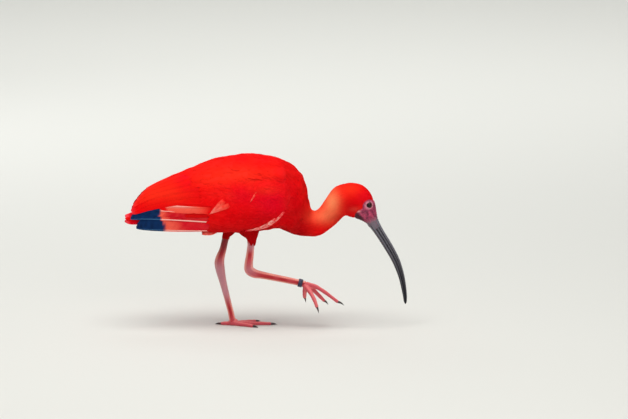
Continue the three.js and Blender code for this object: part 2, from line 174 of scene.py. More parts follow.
def tube_faces(rings, sides):
    """Quads between neighbouring rings, and a fan from each end ring to its pole. Poles come last."""
    ring, side = np.meshgrid(np.arange(rings - 1), np.arange(sides), indexing="ij")
    after = (side + 1) % sides
    quads = np.stack([ring * sides + side, (ring + 1) * sides + side,
                      (ring + 1) * sides + after, ring * sides + after], -1).reshape(-1, 4)
    side = np.arange(sides)
    after = (side + 1) % sides
    start_pole = np.full(sides, rings * sides)
    last = (rings - 1) * sides
    start_fan = np.stack([start_pole, side, after], -1)
    end_fan = np.stack([start_pole + 1, last + after, last + side], -1)
    return quads, np.concatenate([start_fan, end_fan])


def outward(points, quads, tris):
    """The same faces, turned round if the volume that they enclose, summed over triangles, is negative."""
    corners = np.concatenate([quads[:, [0, 1, 2]], quads[:, [0, 2, 3]], tris])
    a, b, c = (points[corners[:, k]] for k in range(3))
    if (a * np.cross(b, c)).sum() < 0:
        return quads[:, ::-1], tris[:, ::-1]
    return quads, tris


def new_piece(name, points, quads, tris, tint, material, slot, maps=None, sharp=None):
    """A mesh object from arrays in mm, with its colours, its UV maps and its sharp edges."""
    mesh = bpy.data.meshes.new(name)
    mesh.vertices.add(len(points))
    metres = (points + np.array([SHIFT_X, 0, 0])) * MM
    mesh.vertices.foreach_set("co", metres.astype(np.float32).ravel())
    loops = np.concatenate([quads.ravel(), tris.ravel()]).astype(np.int32)
    mesh.loops.add(len(loops))
    mesh.loops.foreach_set("vertex_index", loops)
    mesh.polygons.add(len(quads) + len(tris))
    starts = np.concatenate([np.arange(len(quads)) * 4, len(quads) * 4 + np.arange(len(tris)) * 3])
    mesh.polygons.foreach_set("loop_start", starts.astype(np.int32))
    mesh.update(calc_edges=True)
    mesh.polygons.foreach_set("use_smooth", np.ones(len(starts), bool))
    colours = mesh.attributes.new("tint", "FLOAT_COLOR", "POINT")
    rgba = np.concatenate([np.clip(tint, 0, 1), np.ones((len(points), 1))], 1)
    colours.data.foreach_set("color", rgba.astype(np.float32).ravel())
    for map_name, places in (maps or {}).items():
        layer = mesh.uv_layers.new(name=map_name)
        layer.uv.foreach_set("vector", places[loops].astype(np.float32).ravel())
    if sharp is not None:
        ends = np.empty(len(mesh.edges) * 2, np.int32)
        mesh.edges.foreach_get("vertices", ends)
        ends = sharp[ends.reshape(-1, 2)]
        keen = mesh.attributes.new("sharp_edge", "BOOLEAN", "EDGE")
        keen.data.foreach_set("value", (ends[:, 0] & ends[:, 1]) > 0)
    mesh.materials.append(material)
    piece = bpy.data.objects.new(name, mesh)
    bpy.context.scene.collection.objects.link(piece)
    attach(piece, "root")
    print(f"{name}: {len(points)} points, {2 * len(quads) + len(tris)} triangles")
    return piece


# %% [markdown]
# ## Finishes
# All finishes read tint. A feather vane is matt keratin with fine barbs that leave the shaft at a slant,
# and a velvety edge light from the barbules, which the sheen gives. Horn is harder and smoother, with
# streaks along it. Bare skin is a little moist, with fine creases. The eye is wet, with a clear coat for
# the cornea.

# %% Finishes


def add_node(tree, kind, links=None, constants=None, **settings):
    """Adds a node of that kind, sets its properties and inputs, and links inputs to other nodes' outputs.

    constants is for inputs that share one name, such as the two values of a Math node.
    """
    node = tree.nodes.new(kind)
    for key, value in settings.items():
        if hasattr(node, key):
            setattr(node, key, value)
        else:
            node.inputs[key.replace("_", " ")].default_value = value
    for key, value in (constants or {}).items():
        node.inputs[key].default_value = value
    for key, output in (links or {}).items():
        tree.links.new(output, node.inputs[key])
    return node


def new_finish(name):
    """An empty node tree with a Principled shader on its output."""
    material = bpy.data.materials.new(name)
    material.use_nodes = True
    tree = material.node_tree
    tree.nodes.clear()
    shader = add_node(tree, "ShaderNodeBsdfPrincipled")
    add_node(tree, "ShaderNodeOutputMaterial", {"Surface": shader.outputs["BSDF"]})
    return material, tree, shader


def set_shader(shader, **values):
    """Constants on the shader's own sockets."""
    for key, value in values.items():
        shader.inputs[key.replace("_", " ")].default_value = value


def tinted(tree, shader, pattern, low, high):
    """Base colour: tint, made a little darker or lighter by a pattern that runs from low to high."""
    tint = add_node(tree, "ShaderNodeAttribute", attribute_name="tint")
    span = add_node(tree, "ShaderNodeMapRange", {"Value": pattern}, To_Min=low, To_Max=high)
    colour = add_node(tree, "ShaderNodeMix", data_type="RGBA", blend_type="MULTIPLY", Factor=1.0)
    tree.links.new(tint.outputs["Color"], colour.inputs["A"])
    tree.links.new(span.outputs["Result"], colour.inputs["B"])
    tree.links.new(colour.outputs["Result"], shader.inputs["Base Color"])


# Barbs slant towards the tip by about 45 degrees. Real ones lie 0.3 mm apart and are drawn coarser so
# that they show.
BARB_SLANT = 1.0
ALONG_BARB = 0.12
VELVET_RED = (1.0, 0.05, 0.03, 1.0)


def feather_finish(name, barb_mm, depth_mm, roughness, sheen):
    """Keratin vanes: a noise of along - slant x |across|, in mm from the vane map, draws the barbs.

    Along a barb the noise changes ALONG_BARB times as fast, so that barbs fade and part here and there.
    """
    material, tree, shader = new_finish(name)
    set_shader(shader, Roughness=roughness, Specular_IOR_Level=0.035, Sheen_Weight=sheen, Sheen_Roughness=0.5,
               Sheen_Tint=VELVET_RED)
    vane = add_node(tree, "ShaderNodeUVMap", uv_map="vane")
    split = add_node(tree, "ShaderNodeSeparateXYZ", {"Vector": vane.outputs["UV"]})
    away = add_node(tree, "ShaderNodeMath", {0: split.outputs["X"]}, operation="ABSOLUTE")
    slant = add_node(tree, "ShaderNodeMath", {0: away.outputs[0]}, {1: BARB_SLANT}, operation="MULTIPLY")
    along = add_node(tree, "ShaderNodeMath", {0: split.outputs["Y"], 1: slant.outputs[0]},
                     operation="SUBTRACT")
    fine = add_node(tree, "ShaderNodeMath", {0: along.outputs[0]}, {1: 1 / barb_mm}, operation="MULTIPLY")
    broad = add_node(tree, "ShaderNodeMath", {0: split.outputs["X"]}, {1: ALONG_BARB / barb_mm},
                     operation="MULTIPLY")
    place = add_node(tree, "ShaderNodeCombineXYZ", {"X": fine.outputs[0], "Y": broad.outputs[0]})
    barbs = add_node(tree, "ShaderNodeTexNoise", {"Vector": place.outputs[0]}, Scale=1.0, Detail=2.0)
    tinted(tree, shader, barbs.outputs["Fac"], 0.82, 1.16)
    bump = add_node(tree, "ShaderNodeBump", {"Height": barbs.outputs["Fac"]}, Strength=0.5,
                    Distance=depth_mm * MM)
    tree.links.new(bump.outputs["Normal"], shader.inputs["Normal"])
    return material


def grained_finish(name, grain_mm, stretch, depth_mm, contrast, **values):
    """Skin or horn: a noise of that grain, drawn out along z by stretch, shades and raises the surface."""
    material, tree, shader = new_finish(name)
    set_shader(shader, **values)
    place = add_node(tree, "ShaderNodeTexCoord")
    scaled = add_node(tree, "ShaderNodeMapping", {"Vector": place.outputs["Object"]})
    fineness = 1 / (grain_mm * MM)
    scaled.inputs["Scale"].default_value = (fineness, fineness, fineness / stretch)
    grain = add_node(tree, "ShaderNodeTexNoise", {"Vector": scaled.outputs["Vector"]}, Scale=1.0, Detail=3.0)
    tinted(tree, shader, grain.outputs["Fac"], 1 - contrast, 1 + contrast)
    bump = add_node(tree, "ShaderNodeBump", {"Height": grain.outputs["Fac"]}, Strength=0.6,
                    Distance=depth_mm * MM)
    tree.links.new(bump.outputs["Normal"], shader.inputs["Normal"])
    return material


# Soft contour feathers are matt, with loose barbs. Coverts are closer, and flight feathers closest and
# smoothest.
down_finish = feather_finish("soft_contour_feather", 0.55, 0.08, 0.82, 0.20)
covert_finish = feather_finish("scarlet_covert_vane", 0.75, 0.10, 0.70, 0.14)
flight_finish = feather_finish("flight_feather_vane", 0.9, 0.12, 0.55, 0.06)
# Bare skin is soft and lets a little light in. Horn is smooth and streaked along its growth.
skin_finish = grained_finish("bare_skin", 0.9, 1.0, 0.22, 0.16, Roughness=0.55, Specular_IOR_Level=0.22,
                             Subsurface_Weight=0.08, Subsurface_Scale=0.002)
bill_finish = grained_finish("bill_horn", 0.7, 9.0, 0.16, 0.22, Roughness=0.42, Specular_IOR_Level=0.35)
claw_finish = grained_finish("claw_horn", 0.5, 2.0, 0.08, 0.2, Roughness=0.35, Specular_IOR_Level=0.5)
# The eye is wet, and its clear coat is the cornea's.
eye_finish = grained_finish("wet_eye", 0.6, 1.0, 0.0, 0.25, Roughness=0.12, Specular_IOR_Level=0.12,
                            Coat_Weight=0.22, Coat_Roughness=0.03)
# Anodised aluminium: a dyed skin on turned metal, which gleams softly and keeps its colour.
ring_finish = grained_finish("anodised_leg_ring", 0.35, 4.0, 0.03, 0.2, Roughness=0.34, Metallic=0.3)
print("finishes:", [material.name for material in bpy.data.materials])

# %% [markdown]
# ## The form of the bird
# Body, neck and head are one form, so they are one table: each row is a cut through the bird, given by
# the x and z of its upper end, the x and z of its lower end and its half width. Behind the shoulder the
# cuts are upright. At the breast they fan out, because the neck leaves the body low and forwards. A
# smooth curve through the rows gives every cut between them. The folded wings lie outside this form, on a
# second table called the cloak.

# %% The form of the bird
BODY = np.array([
    [-214, 170, -214, 159, 10.5],
    [-203, 174.5, -203, 156, 14.4],
    [-178, 186, -178, 157, 18.5],
    [-150, 202, -150, 157, 23],
    [-128, 219, -128, 153, 31],
    [-106, 238, -106, 148, 41],
    [-80, 253, -80, 145.4, 49],
    [-36, 263.5, -36, 145.5, 56],
    [2, 262, 0, 150, 58],
    [30, 253.5, 11, 152, 54],
    [48.2, 240.6, 17, 152, 49.5],
    [59.2, 223, 23, 150.5, 45.5],
    [64.6, 195, 33, 145, 40],
    [68.3, 181, 46, 140.3, 30],
    [73.5, 177, 66, 137.8, 21],
    [80, 180.3, 84.5, 140.5, 18.6],
    [90, 193, 103.5, 154, 17.6],
    [103, 211.3, 119, 168.3, 18],
    [120, 218.8, 127.5, 167.2, 18.6],
    [133, 220.2, 132.5, 166.3, 18.6],
    [146.5, 216.6, 138, 164.8, 17.6],
    [158.3, 205.9, 143.5, 162.8, 15.4],
    [165.8, 190, 148.5, 160.4, 12.4],
    [168.5, 176, 152.2, 158.0, 9.4],
    [169.8, 167.4, 154.6, 155.4, 7.7],
    [172.6, 159.8, 157.4, 151.4, 6.6],
    [175.0, 153.0, 161.4, 148.2, 5.2],
])
# Row number, then the share of the depth where a cut is widest, and its roundness above and below that
# line.
BODY_SECTIONS = np.array([
    [0, 0.5, 0.95, 0.9],
    [4, 0.46, 0.95, 0.75],
    [7, 0.44, 0.93, 0.62],
    [10, 0.44, 0.93, 0.66],
    [13, 0.5, 1, 0.95],
    [26, 0.5, 1, 1],
])
# x, height of the upper edge, height of the lower edge, half width.
CLOAK = np.array([
    [-214, 170, 155, 13],
    [-207, 184, 148.5, 18.5],
    [-196, 198.5, 143, 23],
    [-176, 214.5, 140, 28.5],
    [-134, 234.5, 140, 38],
    [-85, 254, 142.5, 49],
    [-36, 264, 145.5, 57],
    [2, 262, 150, 58.5],
    [30, 253.5, 156, 53],
    [47, 241, 160, 45],
    [57, 223, 164, 35],
    [64, 195, 168, 22],
    [68, 180, 172, 8],
])
WIDEST, BACK_ROUNDNESS, BELLY_ROUNDNESS = 0.44, 0.93, 0.62


def curve_through(rows, place):
    """The Catmull-Rom cubic through the rows of a table; place 2.5 is half way from row 2 to row 3."""
    place = np.asarray(place, float)
    first = np.clip(np.floor(place).astype(int), 0, len(rows) - 2)
    part = (place - first)[..., None]
    a, b, c, d = (rows[np.clip(first + k, 0, len(rows) - 1)] for k in (-1, 0, 1, 2))
    bend = 2 * a - 5 * b + 4 * c - d
    twist = 3 * b - a - 3 * c + d
    return b + 0.5 * part * (c - a + part * (bend + part * twist))


def signed_power(value, exponent):
    """The absolute value to that power, with the sign kept."""
    return np.sign(value) * np.abs(value) ** exponent


def on_cut(top, low, half, widest, back, belly, angle):
    """A point of a cut: from its widest line, rise x cos^r along the cut and half width x sin^r across it."""
    upper = np.cos(angle) > 0
    roundness = np.where(upper, back, belly)
    middle = low + (top - low) * widest[..., None]
    end = np.where(upper[..., None], top, low)
    share = np.abs(np.cos(angle)) ** roundness
    side_view = middle + (end - middle) * share[..., None]
    return np.stack([side_view[..., 0], half * signed_power(np.sin(angle), roundness), side_view[..., 1]], -1)


def on_body(place, angle):
    """The outside of the plumage of body, neck and head, at a place in the table and an angle from the top.

    Between the rows the shape of the cut runs on evenly.
    """
    place, angle = np.broadcast_arrays(place, angle)
    row = curve_through(BODY, place)
    widest, back, belly = (np.interp(place, BODY_SECTIONS[:, 0], BODY_SECTIONS[:, k]) for k in (1, 2, 3))
    return on_cut(row[..., 0:2], row[..., 2:4], row[..., 4], widest, back, belly, angle)


cloak_places = np.linspace(0, len(CLOAK) - 1, 2000)
cloak_xs = curve_through(CLOAK, cloak_places)[:, 0]


def on_cloak(x, angle):
    """The outside of the folded wings, at x and an angle from the top."""
    x, angle = np.broadcast_arrays(x, angle)
    row = curve_through(CLOAK, np.interp(x, cloak_xs, cloak_places))
    top, low = (np.stack([x, row[..., k]], -1) for k in (1, 2))
    shape = (np.full(x.shape, value) for value in (WIDEST, BACK_ROUNDNESS, BELLY_ROUNDNESS))
    return on_cut(top, low, row[..., 3], *shape, angle)


LAST_ROW = len(BODY) - 1.0
print("body from", on_body(0.0, 0.0).round(1), "to", on_body(LAST_ROW, 0.0).round(1))

# %% [markdown]
# ## Ground to lay feathers on
# A feather follows the body under it. So each form is first made into a ground: a dense net of points
# with its outward direction, which can be read at any place between its rings and columns. Walking over
# the ground in a heading, by small steps, gives the line of a shaft that hugs the body, and a vane is
# spread to both sides of it.

# %% Ground to lay feathers on


FINE_STEPS, NEWTON_STEPS = 721, 5


class Ground:
    """Rings numbered towards the bill, with columns from the belly up one side and down the other."""

    def __init__(self, form, places, columns):
        """Each ring gets columns points at equal steps of arc, found by running length along a finer ring."""
        fine = np.linspace(-np.pi, np.pi, FINE_STEPS)
        net = form(places[:, None], fine[None, :])
        steps = np.linalg.norm(np.diff(net, axis=1), axis=2)
        run = np.concatenate([np.zeros((len(places), 1)), np.cumsum(steps, 1)], 1)
        wanted = np.arange(columns) / columns
        angles = np.stack([np.interp(wanted, ring / ring[-1], fine) for ring in run])
        self.points = form(places[:, None], angles)
        self.rings, self.columns = self.points.shape[:2]
        self.lean = np.abs(np.degrees(angles))[..., None]
        self.along = np.gradient(self.points, axis=0)
        self.across = (np.roll(self.points, -1, 1) - np.roll(self.points, 1, 1)) / 2
        normal = np.cross(self.along, self.across)
        normal /= np.linalg.norm(normal, axis=2, keepdims=True) + 1e-12
        facing = ((self.points - self.points.mean(1, keepdims=True)) * normal).sum(-1).mean()
        self.normal = normal * np.sign(facing)

    def read(self, table, ring, column):
        """The table's value between its four nearest points, weighted by nearness; columns wrap round."""
        ring = np.clip(ring, 0, self.rings - 1.001)
        r, c = np.floor(ring).astype(int), np.floor(column).astype(int)
        s, t = (ring - r)[..., None], (column - c)[..., None]
        here, after = c % self.columns, (c + 1) % self.columns
        near = table[r, here] * (1 - t) + table[r, after] * t
        far = table[r + 1, here] * (1 - t) + table[r + 1, after] * t
        return near * (1 - s) + far * s

    def at(self, ring, column, rise):
        """The point that lies rise mm above the ground."""
        normal = self.read(self.normal, ring, column)
        return self.read(self.points, ring, column) + normal * rise[..., None]

    def headings(self, ring, column, heading):
        """Unit steps over the ground along a heading and square to it, as rings and columns for each mm.

        Heading 0 runs tailwards, and a positive one turns towards the belly on both sides.
        """
        along, normal = self.read(self.along, ring, column), self.read(self.normal, ring, column)
        side = np.where(self.read(self.points, ring, column)[..., 1] < 0, 1.0, -1.0)
        back = -along / np.linalg.norm(along, axis=-1, keepdims=True)
        down = np.cross(normal, back)
        turn = (heading * side)[..., None]
        ahead = back * np.cos(turn) + down * np.sin(turn)
        return [self.steps(ring, column, way) for way in (ahead, np.cross(normal, ahead))]

    def steps(self, ring, column, way):
        """A direction as rings and columns: the r and c for which r x along + c x across comes nearest to it.

        They solve the two equations that the products of along and across with the direction give.
        """
        a, b = self.read(self.along, ring, column), self.read(self.across, ring, column)
        aa, ab, bb = (a * a).sum(-1), (a * b).sum(-1), (b * b).sum(-1)
        wa, wb = (way * a).sum(-1), (way * b).sum(-1)
        area = aa * bb - ab * ab + 1e-9
        return np.stack([(wa * bb - wb * ab) / area, (wb * aa - wa * ab) / area], -1)

    def under(self, x, z, side):
        """The place whose side view is x, z: the nearest net point, then a few Newton steps."""
        x, z = np.atleast_1d(np.asarray(x, float)), np.atleast_1d(np.asarray(z, float))
        flat = self.points.reshape(-1, 3)
        own = flat[:, 1] * side > 0
        gap = (flat[None, :, 0] - x[:, None]) ** 2 + (flat[None, :, 2] - z[:, None]) ** 2
        best = np.where(own[None, :], gap, 1e9).argmin(1)
        ring, column = (best // self.columns).astype(float), (best % self.columns).astype(float)
        for _ in range(NEWTON_STEPS):
            place, a, b = (self.read(t, ring, column) for t in (self.points, self.along, self.across))
            dx, dz = x - place[:, 0], z - place[:, 2]
            area = a[:, 0] * b[:, 2] - a[:, 2] * b[:, 0] + 1e-9
            ring = ring + np.clip((dx * b[:, 2] - dz * b[:, 0]) / area, -2, 2)
            column = column + np.clip((dz * a[:, 0] - dx * a[:, 2]) / area, -2, 2)
        return ring, column


# First row, last row and number of rings for the back, the breast and the neck; the head gets the finest net.
STRETCHES = ((0, 7, 70), (7, 13, 60), (13, 17, 50))
HEAD_RINGS, COLUMNS = 110, 180
body_places = np.concatenate([np.linspace(*stretch, endpoint=False) for stretch in STRETCHES]
                             + [np.linspace(STRETCHES[-1][1], LAST_ROW, HEAD_RINGS)])
body = Ground(on_body, body_places, COLUMNS)
CLOAK_END_X, CLOAK_RINGS = 60, 140
cloak = Ground(on_cloak, np.linspace(TAIL_TIP_X, CLOAK_END_X, CLOAK_RINGS), COLUMNS)
print("body net", body.points.shape, "cloak net", cloak.points.shape)

# %% [markdown]
# ## Feathers in arrays
# A feather is a flat tube: at each station along its shaft lies a small closed section with an edge at
# each side and a ridge in the middle. Stations crowd towards the tip, at the sine of even steps, so that
# the tip comes out round. Feathers nearer the head lie over those behind them, so a vane rises above the
# ground from its root to its tip. The bake map gives each feather a small patch at its root's place on
# the unrolled body.

# %% Feathers in arrays
# Sections: share of the vane's half width, share of the shaft's half width, and height in mm.
SMALL_SECTION = np.array([[-1, 0, -1.0], [0, 0, 0.0], [1, 0, -1.0]])
SMALL_EDGES = [0, 2]
LARGE_TOP = np.array([[-1, 0, -1.0], [-0.66, 0, -0.42], [-0.33, 0, -0.1],
                      [0, -1.35, 0.0], [0, -1, 0.28], [0, 0, 0.5], [0, 1, 0.28], [0, 1.35, 0.0],
                      [0.33, 0, -0.1], [0.66, 0, -0.42], [1, 0, -1.0]])
LARGE_UNDER = np.array([[0.98, 0, -1.5], [0.33, 0, -0.62], [0, 0, -0.55], [-0.33, 0, -0.62],
                        [-0.98, 0, -1.5]])
LARGE_SECTION = np.concatenate([LARGE_TOP, LARGE_UNDER])
LARGE_EDGES = [0, 10, 11, 15]
LARGE_ARCH = 0.5
ON_SHAFT = np.isin(np.arange(len(LARGE_SECTION)), (4, 5, 6)).astype(float)


def walk(ground, ring, column, heading, length, shares):
    """Shafts over the ground, all at once: from each root, steps to the given shares of the length."""
    rings, columns, across = [ring], [column], []
    for k in range(len(shares)):
        ahead, square = ground.headings(rings[-1], columns[-1], heading)
        across.append(square)
        if k + 1 < len(shares):
            step = length * (shares[k + 1] - shares[k])
            rings.append(rings[-1] + ahead[..., 0] * step)
            columns.append(columns[-1] + ahead[..., 1] * step)
    return np.stack(rings, 1), np.stack(columns, 1), np.stack(across, 1)


def spread(ground, rings, columns, across, section, half, shaft, rise, arch, tilt=0.0):
    """Vane points: shaft place + across steps x (vane share x half width + shaft share x shaft half width).

    half is (feathers, stations, 2) for the two sides, shaft and rise are (feathers, stations), and arch is in
    mm. tilt raises one edge and sinks the other.
    """
    share, stem, height = section.T
    own = np.where(share[None, None, :] < 0, half[..., 0:1], half[..., 1:2])
    reach = share * own + stem * shaft[..., None]
    ring = rings[..., None] + across[..., 0:1] * reach
    column = columns[..., None] + across[..., 1:2] * reach
    bend = np.where(stem == 0, arch[:, None, None] * height, height * shaft[..., None])
    bend = bend + share * np.reshape(tilt, (-1, 1))
    return ground.at(ring, column, rise[..., None] + bend), reach


print("sections of", len(SMALL_SECTION), "and", len(LARGE_SECTION), "points")

# %% Joining feathers into a piece
# The tip lies this share of the last step past the last station.
TIP_SHARE = 0.35
PATCH, MAP_MARGIN = 0.003, 0.01


def feather_piece(name, sheets, colour, material, slot, bake):
    """Joins the vanes in sheets into one piece.

    A sheet is points, reach, shares, length, root places, the section's edge points, and keys for the colour.
    """
    points, tints, vane_map, bake_map = [], [], [], []
    quad_list, tri_list, keen = [], [], []
    start = 0
    for band, (net, reach, shares, length, roots, edge, keys) in enumerate(sheets):
        count, stations, sides = net.shape[:3]
        along = np.broadcast_to((shares * length[:, None])[..., None], reach.shape)
        share = np.broadcast_to(shares[None, :, None], reach.shape)
        shade = np.broadcast_to(colour(net, share, reach, keys), net.shape)
        root_pole = net[:, 0].mean(1)
        tip_pole = net[:, -1].mean(1) + (net[:, -1] - net[:, -2]).mean(1) * TIP_SHARE
        points.append(np.concatenate([net.reshape(count, -1, 3), root_pole[:, None], tip_pole[:, None]], 1))
        ends = np.stack([shade[:, 0].mean(1), shade[:, -1].mean(1)], 1)
        tints.append(np.concatenate([shade.reshape(count, -1, 3), ends], 1))
        poles = np.zeros((count, 2, 2))
        poles[:, 1, 1] = length
        vane_map.append(np.concatenate([np.stack([reach, along], -1).reshape(count, -1, 2), poles], 1))
        bake_map.append(bake(roots, vane_map[-1], length, band, len(sheets)))
        mark = np.zeros((count, stations, sides), bool)
        mark[:, :, edge] = True
        pole_marks = np.broadcast_to([False, True], (count, 2))
        keen.append(np.concatenate([mark.reshape(count, -1), pole_marks], 1).ravel())
        quads, tris = tube_faces(stations, sides)
        shift = start + np.arange(count)[:, None, None] * (stations * sides + 2)
        quad_list.append((quads[None] + shift).reshape(-1, 4))
        tri_list.append((tris[None] + shift).reshape(-1, 3))
        start += count * (stations * sides + 2)
    points, tints, vane_map, bake_map = (
        np.concatenate([part.reshape(-1, part.shape[-1]) for part in parts])
        for parts in (points, tints, vane_map, bake_map))
    return new_piece(name, points, np.concatenate(quad_list), np.concatenate(tri_list), tints, material, slot,
                     {"OFBake": bake_map, "vane": vane_map}, np.concatenate(keen))


def patch_at_root(roots, vane, length, band, bands):
    """The bake map of small feathers: a patch PATCH across at the root's place on the unrolled ground.

    The ground fills the sheet's own band of the map.
    """
    spot = MAP_MARGIN + (1 - 2 * MAP_MARGIN) * (roots - roots.min(0)) / np.ptp(roots, 0)
    spot[:, 1] = (band + spot[:, 1]) / bands
    local = vane / length[:, None, None]
    return spot[:, None] + PATCH * np.stack([local[..., 1] - 0.5, local[..., 0]], -1)


print("a small feather's patch is", PATCH, "of the map")

# %% Scattering small feathers
# Roots leave the even net by up to this share of a step.
JITTER = 0.3


def scatter(ground, spacing, inside, chance):
    """Roots about spacing mm apart: a jittered net, as fine as the widest cell needs, thinned by area."""
    along, across = (np.linalg.norm(t, axis=2) for t in (ground.along, ground.across))
    keep = inside(ground.points, ground.lean[..., 0])
    widest = np.where(keep, along, 0).max(1)
    run = np.concatenate([[0], np.cumsum(widest[:-1])])
    rows = np.interp(np.arange(0, run[-1], spacing), run, np.arange(ground.rings))
    step = spacing / np.where(keep, across, 0).max()
    ring, column = np.meshgrid(rows, np.arange(0, ground.columns, step), indexing="ij")
    column = column + (np.arange(len(rows)) % 2)[:, None] * step / 2
    ring = ring + chance.uniform(-JITTER, JITTER, ring.shape) * np.gradient(rows)[:, None]
    column = column + chance.uniform(-JITTER, JITTER, ring.shape) * step
    ring, column = ring.ravel(), column.ravel()
    tall = np.repeat(np.gradient(rows), len(column) // len(rows))
    tall = tall * ground.read(along[..., None], ring, column)[:, 0]
    broad = step * ground.read(across[..., None], ring, column)[:, 0]
    keep = chance.uniform(0, 1, len(ring)) < tall * broad / spacing**2
    keep &= (ring >= 0) & (ring <= ground.rings - 1)
    keep &= inside(ground.read(ground.points, ring, column), ground.read(ground.lean, ring, column)[:, 0])
    return ring[keep], column[keep]


def undulation(points):
    """The plumage is not even: it swells and sinks by 0.7 mm over about 26 mm, less on the neck and head."""
    return mottle(points, 26, 71) * (0.7 - 0.5 * ease(points[..., 0], 60, 100))


def for_each(value, roots):
    """A value for each root: a function of the roots, or the same number for all of them."""
    return value(roots) if callable(value) else np.full(len(roots), float(value))


def small_feathers(ground, inside, seed, spacing, length, width, lift=(-1.2, 0.3), heading=0.0, sway=7.0,
                   arch=0.3, ragged=0.12, stations=5, uneven=0.15, relief=None):
    """A tract of small feathers. lift is mm at root and tip, and sway is the spread of headings in degrees.

    length, width and heading are numbers or functions of the roots. The outline of a vane is the root of
    1 - share squared, narrowed towards the root, and ragged by a random share on each side.
    """
    chance = np.random.default_rng(seed)
    ring, column = scatter(ground, spacing, inside, chance)
    roots = ground.read(ground.points, ring, column)
    count = len(ring)
    long = for_each(length, roots) * chance.uniform(1 - uneven, 1 + uneven, count)
    wide = for_each(width, roots) * chance.uniform(0.88, 1.12, count)
    turn = np.radians(for_each(heading, roots) + chance.normal(0, sway, count))
    shares = np.sin(np.linspace(0, np.pi / 2, stations + 1))[:-1]
    rings, columns, across = walk(ground, ring, column, turn, long, shares)
    outline = np.sqrt(1 - shares**2) * (0.45 + 0.55 * ease(shares, 0, 0.45))
    half = wide[:, None, None] / 2 * outline[None, :, None]
    half = half * chance.uniform(1 - ragged, 1 + ragged, (count, stations, 2))
    rise = lift[0] + (lift[1] - lift[0]) * shares[None] ** 0.8 + chance.normal(0, 0.05, count)[:, None]
    shaft_points = ground.read(ground.points, rings, columns)
    rise = rise + undulation(shaft_points)
    if relief is not None:
        rise = rise + relief(shaft_points, ground.read(ground.lean, rings, columns)[..., 0])
    net, reach = spread(ground, rings, columns, across, SMALL_SECTION, half, half[..., 0], rise,
                        np.full(count, arch))
    keys = {"luck": chance.uniform(-1, 1, count)}
    place = np.stack([ring / ground.rings, np.mod(column, ground.columns) / ground.columns], -1)
    return net, reach, shares, long, place, SMALL_EDGES, keys


print("the shoulder swells by", undulation(np.array([0.0, -58.0, 200.0])).round(2), "mm")

# %% [markdown]
# ## The markings of the plumage
# The plumage is one scarlet, with crimson at the shoulder. An orange bloom on the back, the nape and the
# crown is painted highlight, where the light from above falls, and a deep red on the lower side, by the
# crook of the neck and under the neck and body is painted shade. These are soft patches in side view, each
# with a middle, a reach along x and z, and a strength. All tracts share them, so the colour runs on from
# one tract to the next.

# %% The markings of the plumage
PATCHES = [
    # x, z, reach along x, reach along z, strength, colour
    # Orange: painted highlight on the upper back and the rear of the wings, where the light from above falls.
    [-45, 238, 60, 14, 0.50, ORANGE],
    [-150, 205, 42, 13, 0.34, ORANGE],
    [-82, 227, 26, 8, 0.22, ORANGE],
    # Crimson: the coverts' own hue at the shoulder.
    [10, 198, 26, 24, 0.60, CRIMSON],
    [-36, 208, 24, 14, 0.35, CRIMSON],
    # Deep red: painted shade on the lower side of the wing.
    [-4, 170, 60, 16, 0.45, DEEP_RED],
    # Deep red at the front of the shoulder.
    [34, 232, 14, 26, 0.40, DEEP_RED],
    # Orange: painted highlight where the coverts below the crease catch the light.
    [2, 216, 20, 7, 0.35, ORANGE],
    [-62, 208, 20, 7, 0.15, ORANGE],
    # Salmon behind the bare face.
    [134, 181, 8, 4, 0.40, SALMON],
    # Deep red: painted shade on the breast by the crook of the neck.
    [48, 178, 16, 34, 0.45, DEEP_RED],
    # Nape colour: painted highlight on the upper side of the neck.
    [100, 193, 12, 18, 1.00, NAPE_HIGHLIGHT],
    [88, 172, 19, 12, 0.60, NAPE_HIGHLIGHT],
    # Deep red: painted shade on the underside of the neck.
    [114, 166, 18, 10, 0.35, DEEP_RED],
    # Deep red on the side of the head.
    [128, 184, 13, 13, 0.45, DEEP_RED],
    # Orange: painted highlight on the crown.
    [128, 212, 16, 9, 0.55, ORANGE],
    # Crimson on the forehead.
    [150, 200, 12, 10, 0.30, CRIMSON],
]


def coat_colour_and_light(points):
    """Scarlet, mixed with each patch by its strength times a bell curve of the distance.

    The belly turns deep red, which is painted shade under the body.
    """
    x, z = points[..., 0], points[..., 2]
    colour = mix(SCARLET, ORANGE, 0.02 + 0.06 * mottle(points, 38, 3))
    for px, pz, along, up, strength, patch in PATCHES:
        colour = mix(colour, patch, strength * bell(x, px, along) * bell(z, pz, up))
    # Painted shade: the belly turns deep red under the body.
    colour = mix(colour, DEEP_RED, 0.85 * (1 - ease(z, 142, 172)) * (1 - ease(x, 50, 85)))
    return colour


def body_tint(points, share, reach, keys):
    """The coat's colour and painted light, with a little luck for each feather, and a paler root where barbs
    are loose.
    """
    luck = keys["luck"][:, None, None]
    colour = coat_colour_and_light(points) * (1 + 0.05 * luck)[..., None]
    return mix(colour, ROSE, 0.05 * (1 - share) + 0.02 * luck)


# The middle of an eyeball, whose y takes the sign of its side.
EYE = np.array([156.7, 9.9, 187.0])
# The bare face in side view: an outline through forehead, over the eye, behind it, to the gape and the
# chin.
FACE_EDGE = np.array([[176, 196], [166.2, 192.6], [161, 193.8], [155.2, 193.4], [150.6, 190.4], [149, 186],
                      [146.6, 181.8], [141.5, 179], [138.2, 176.4], [135.6, 172.5], [135.2, 168],
                      [138, 160], [152, 148], [180, 148]])


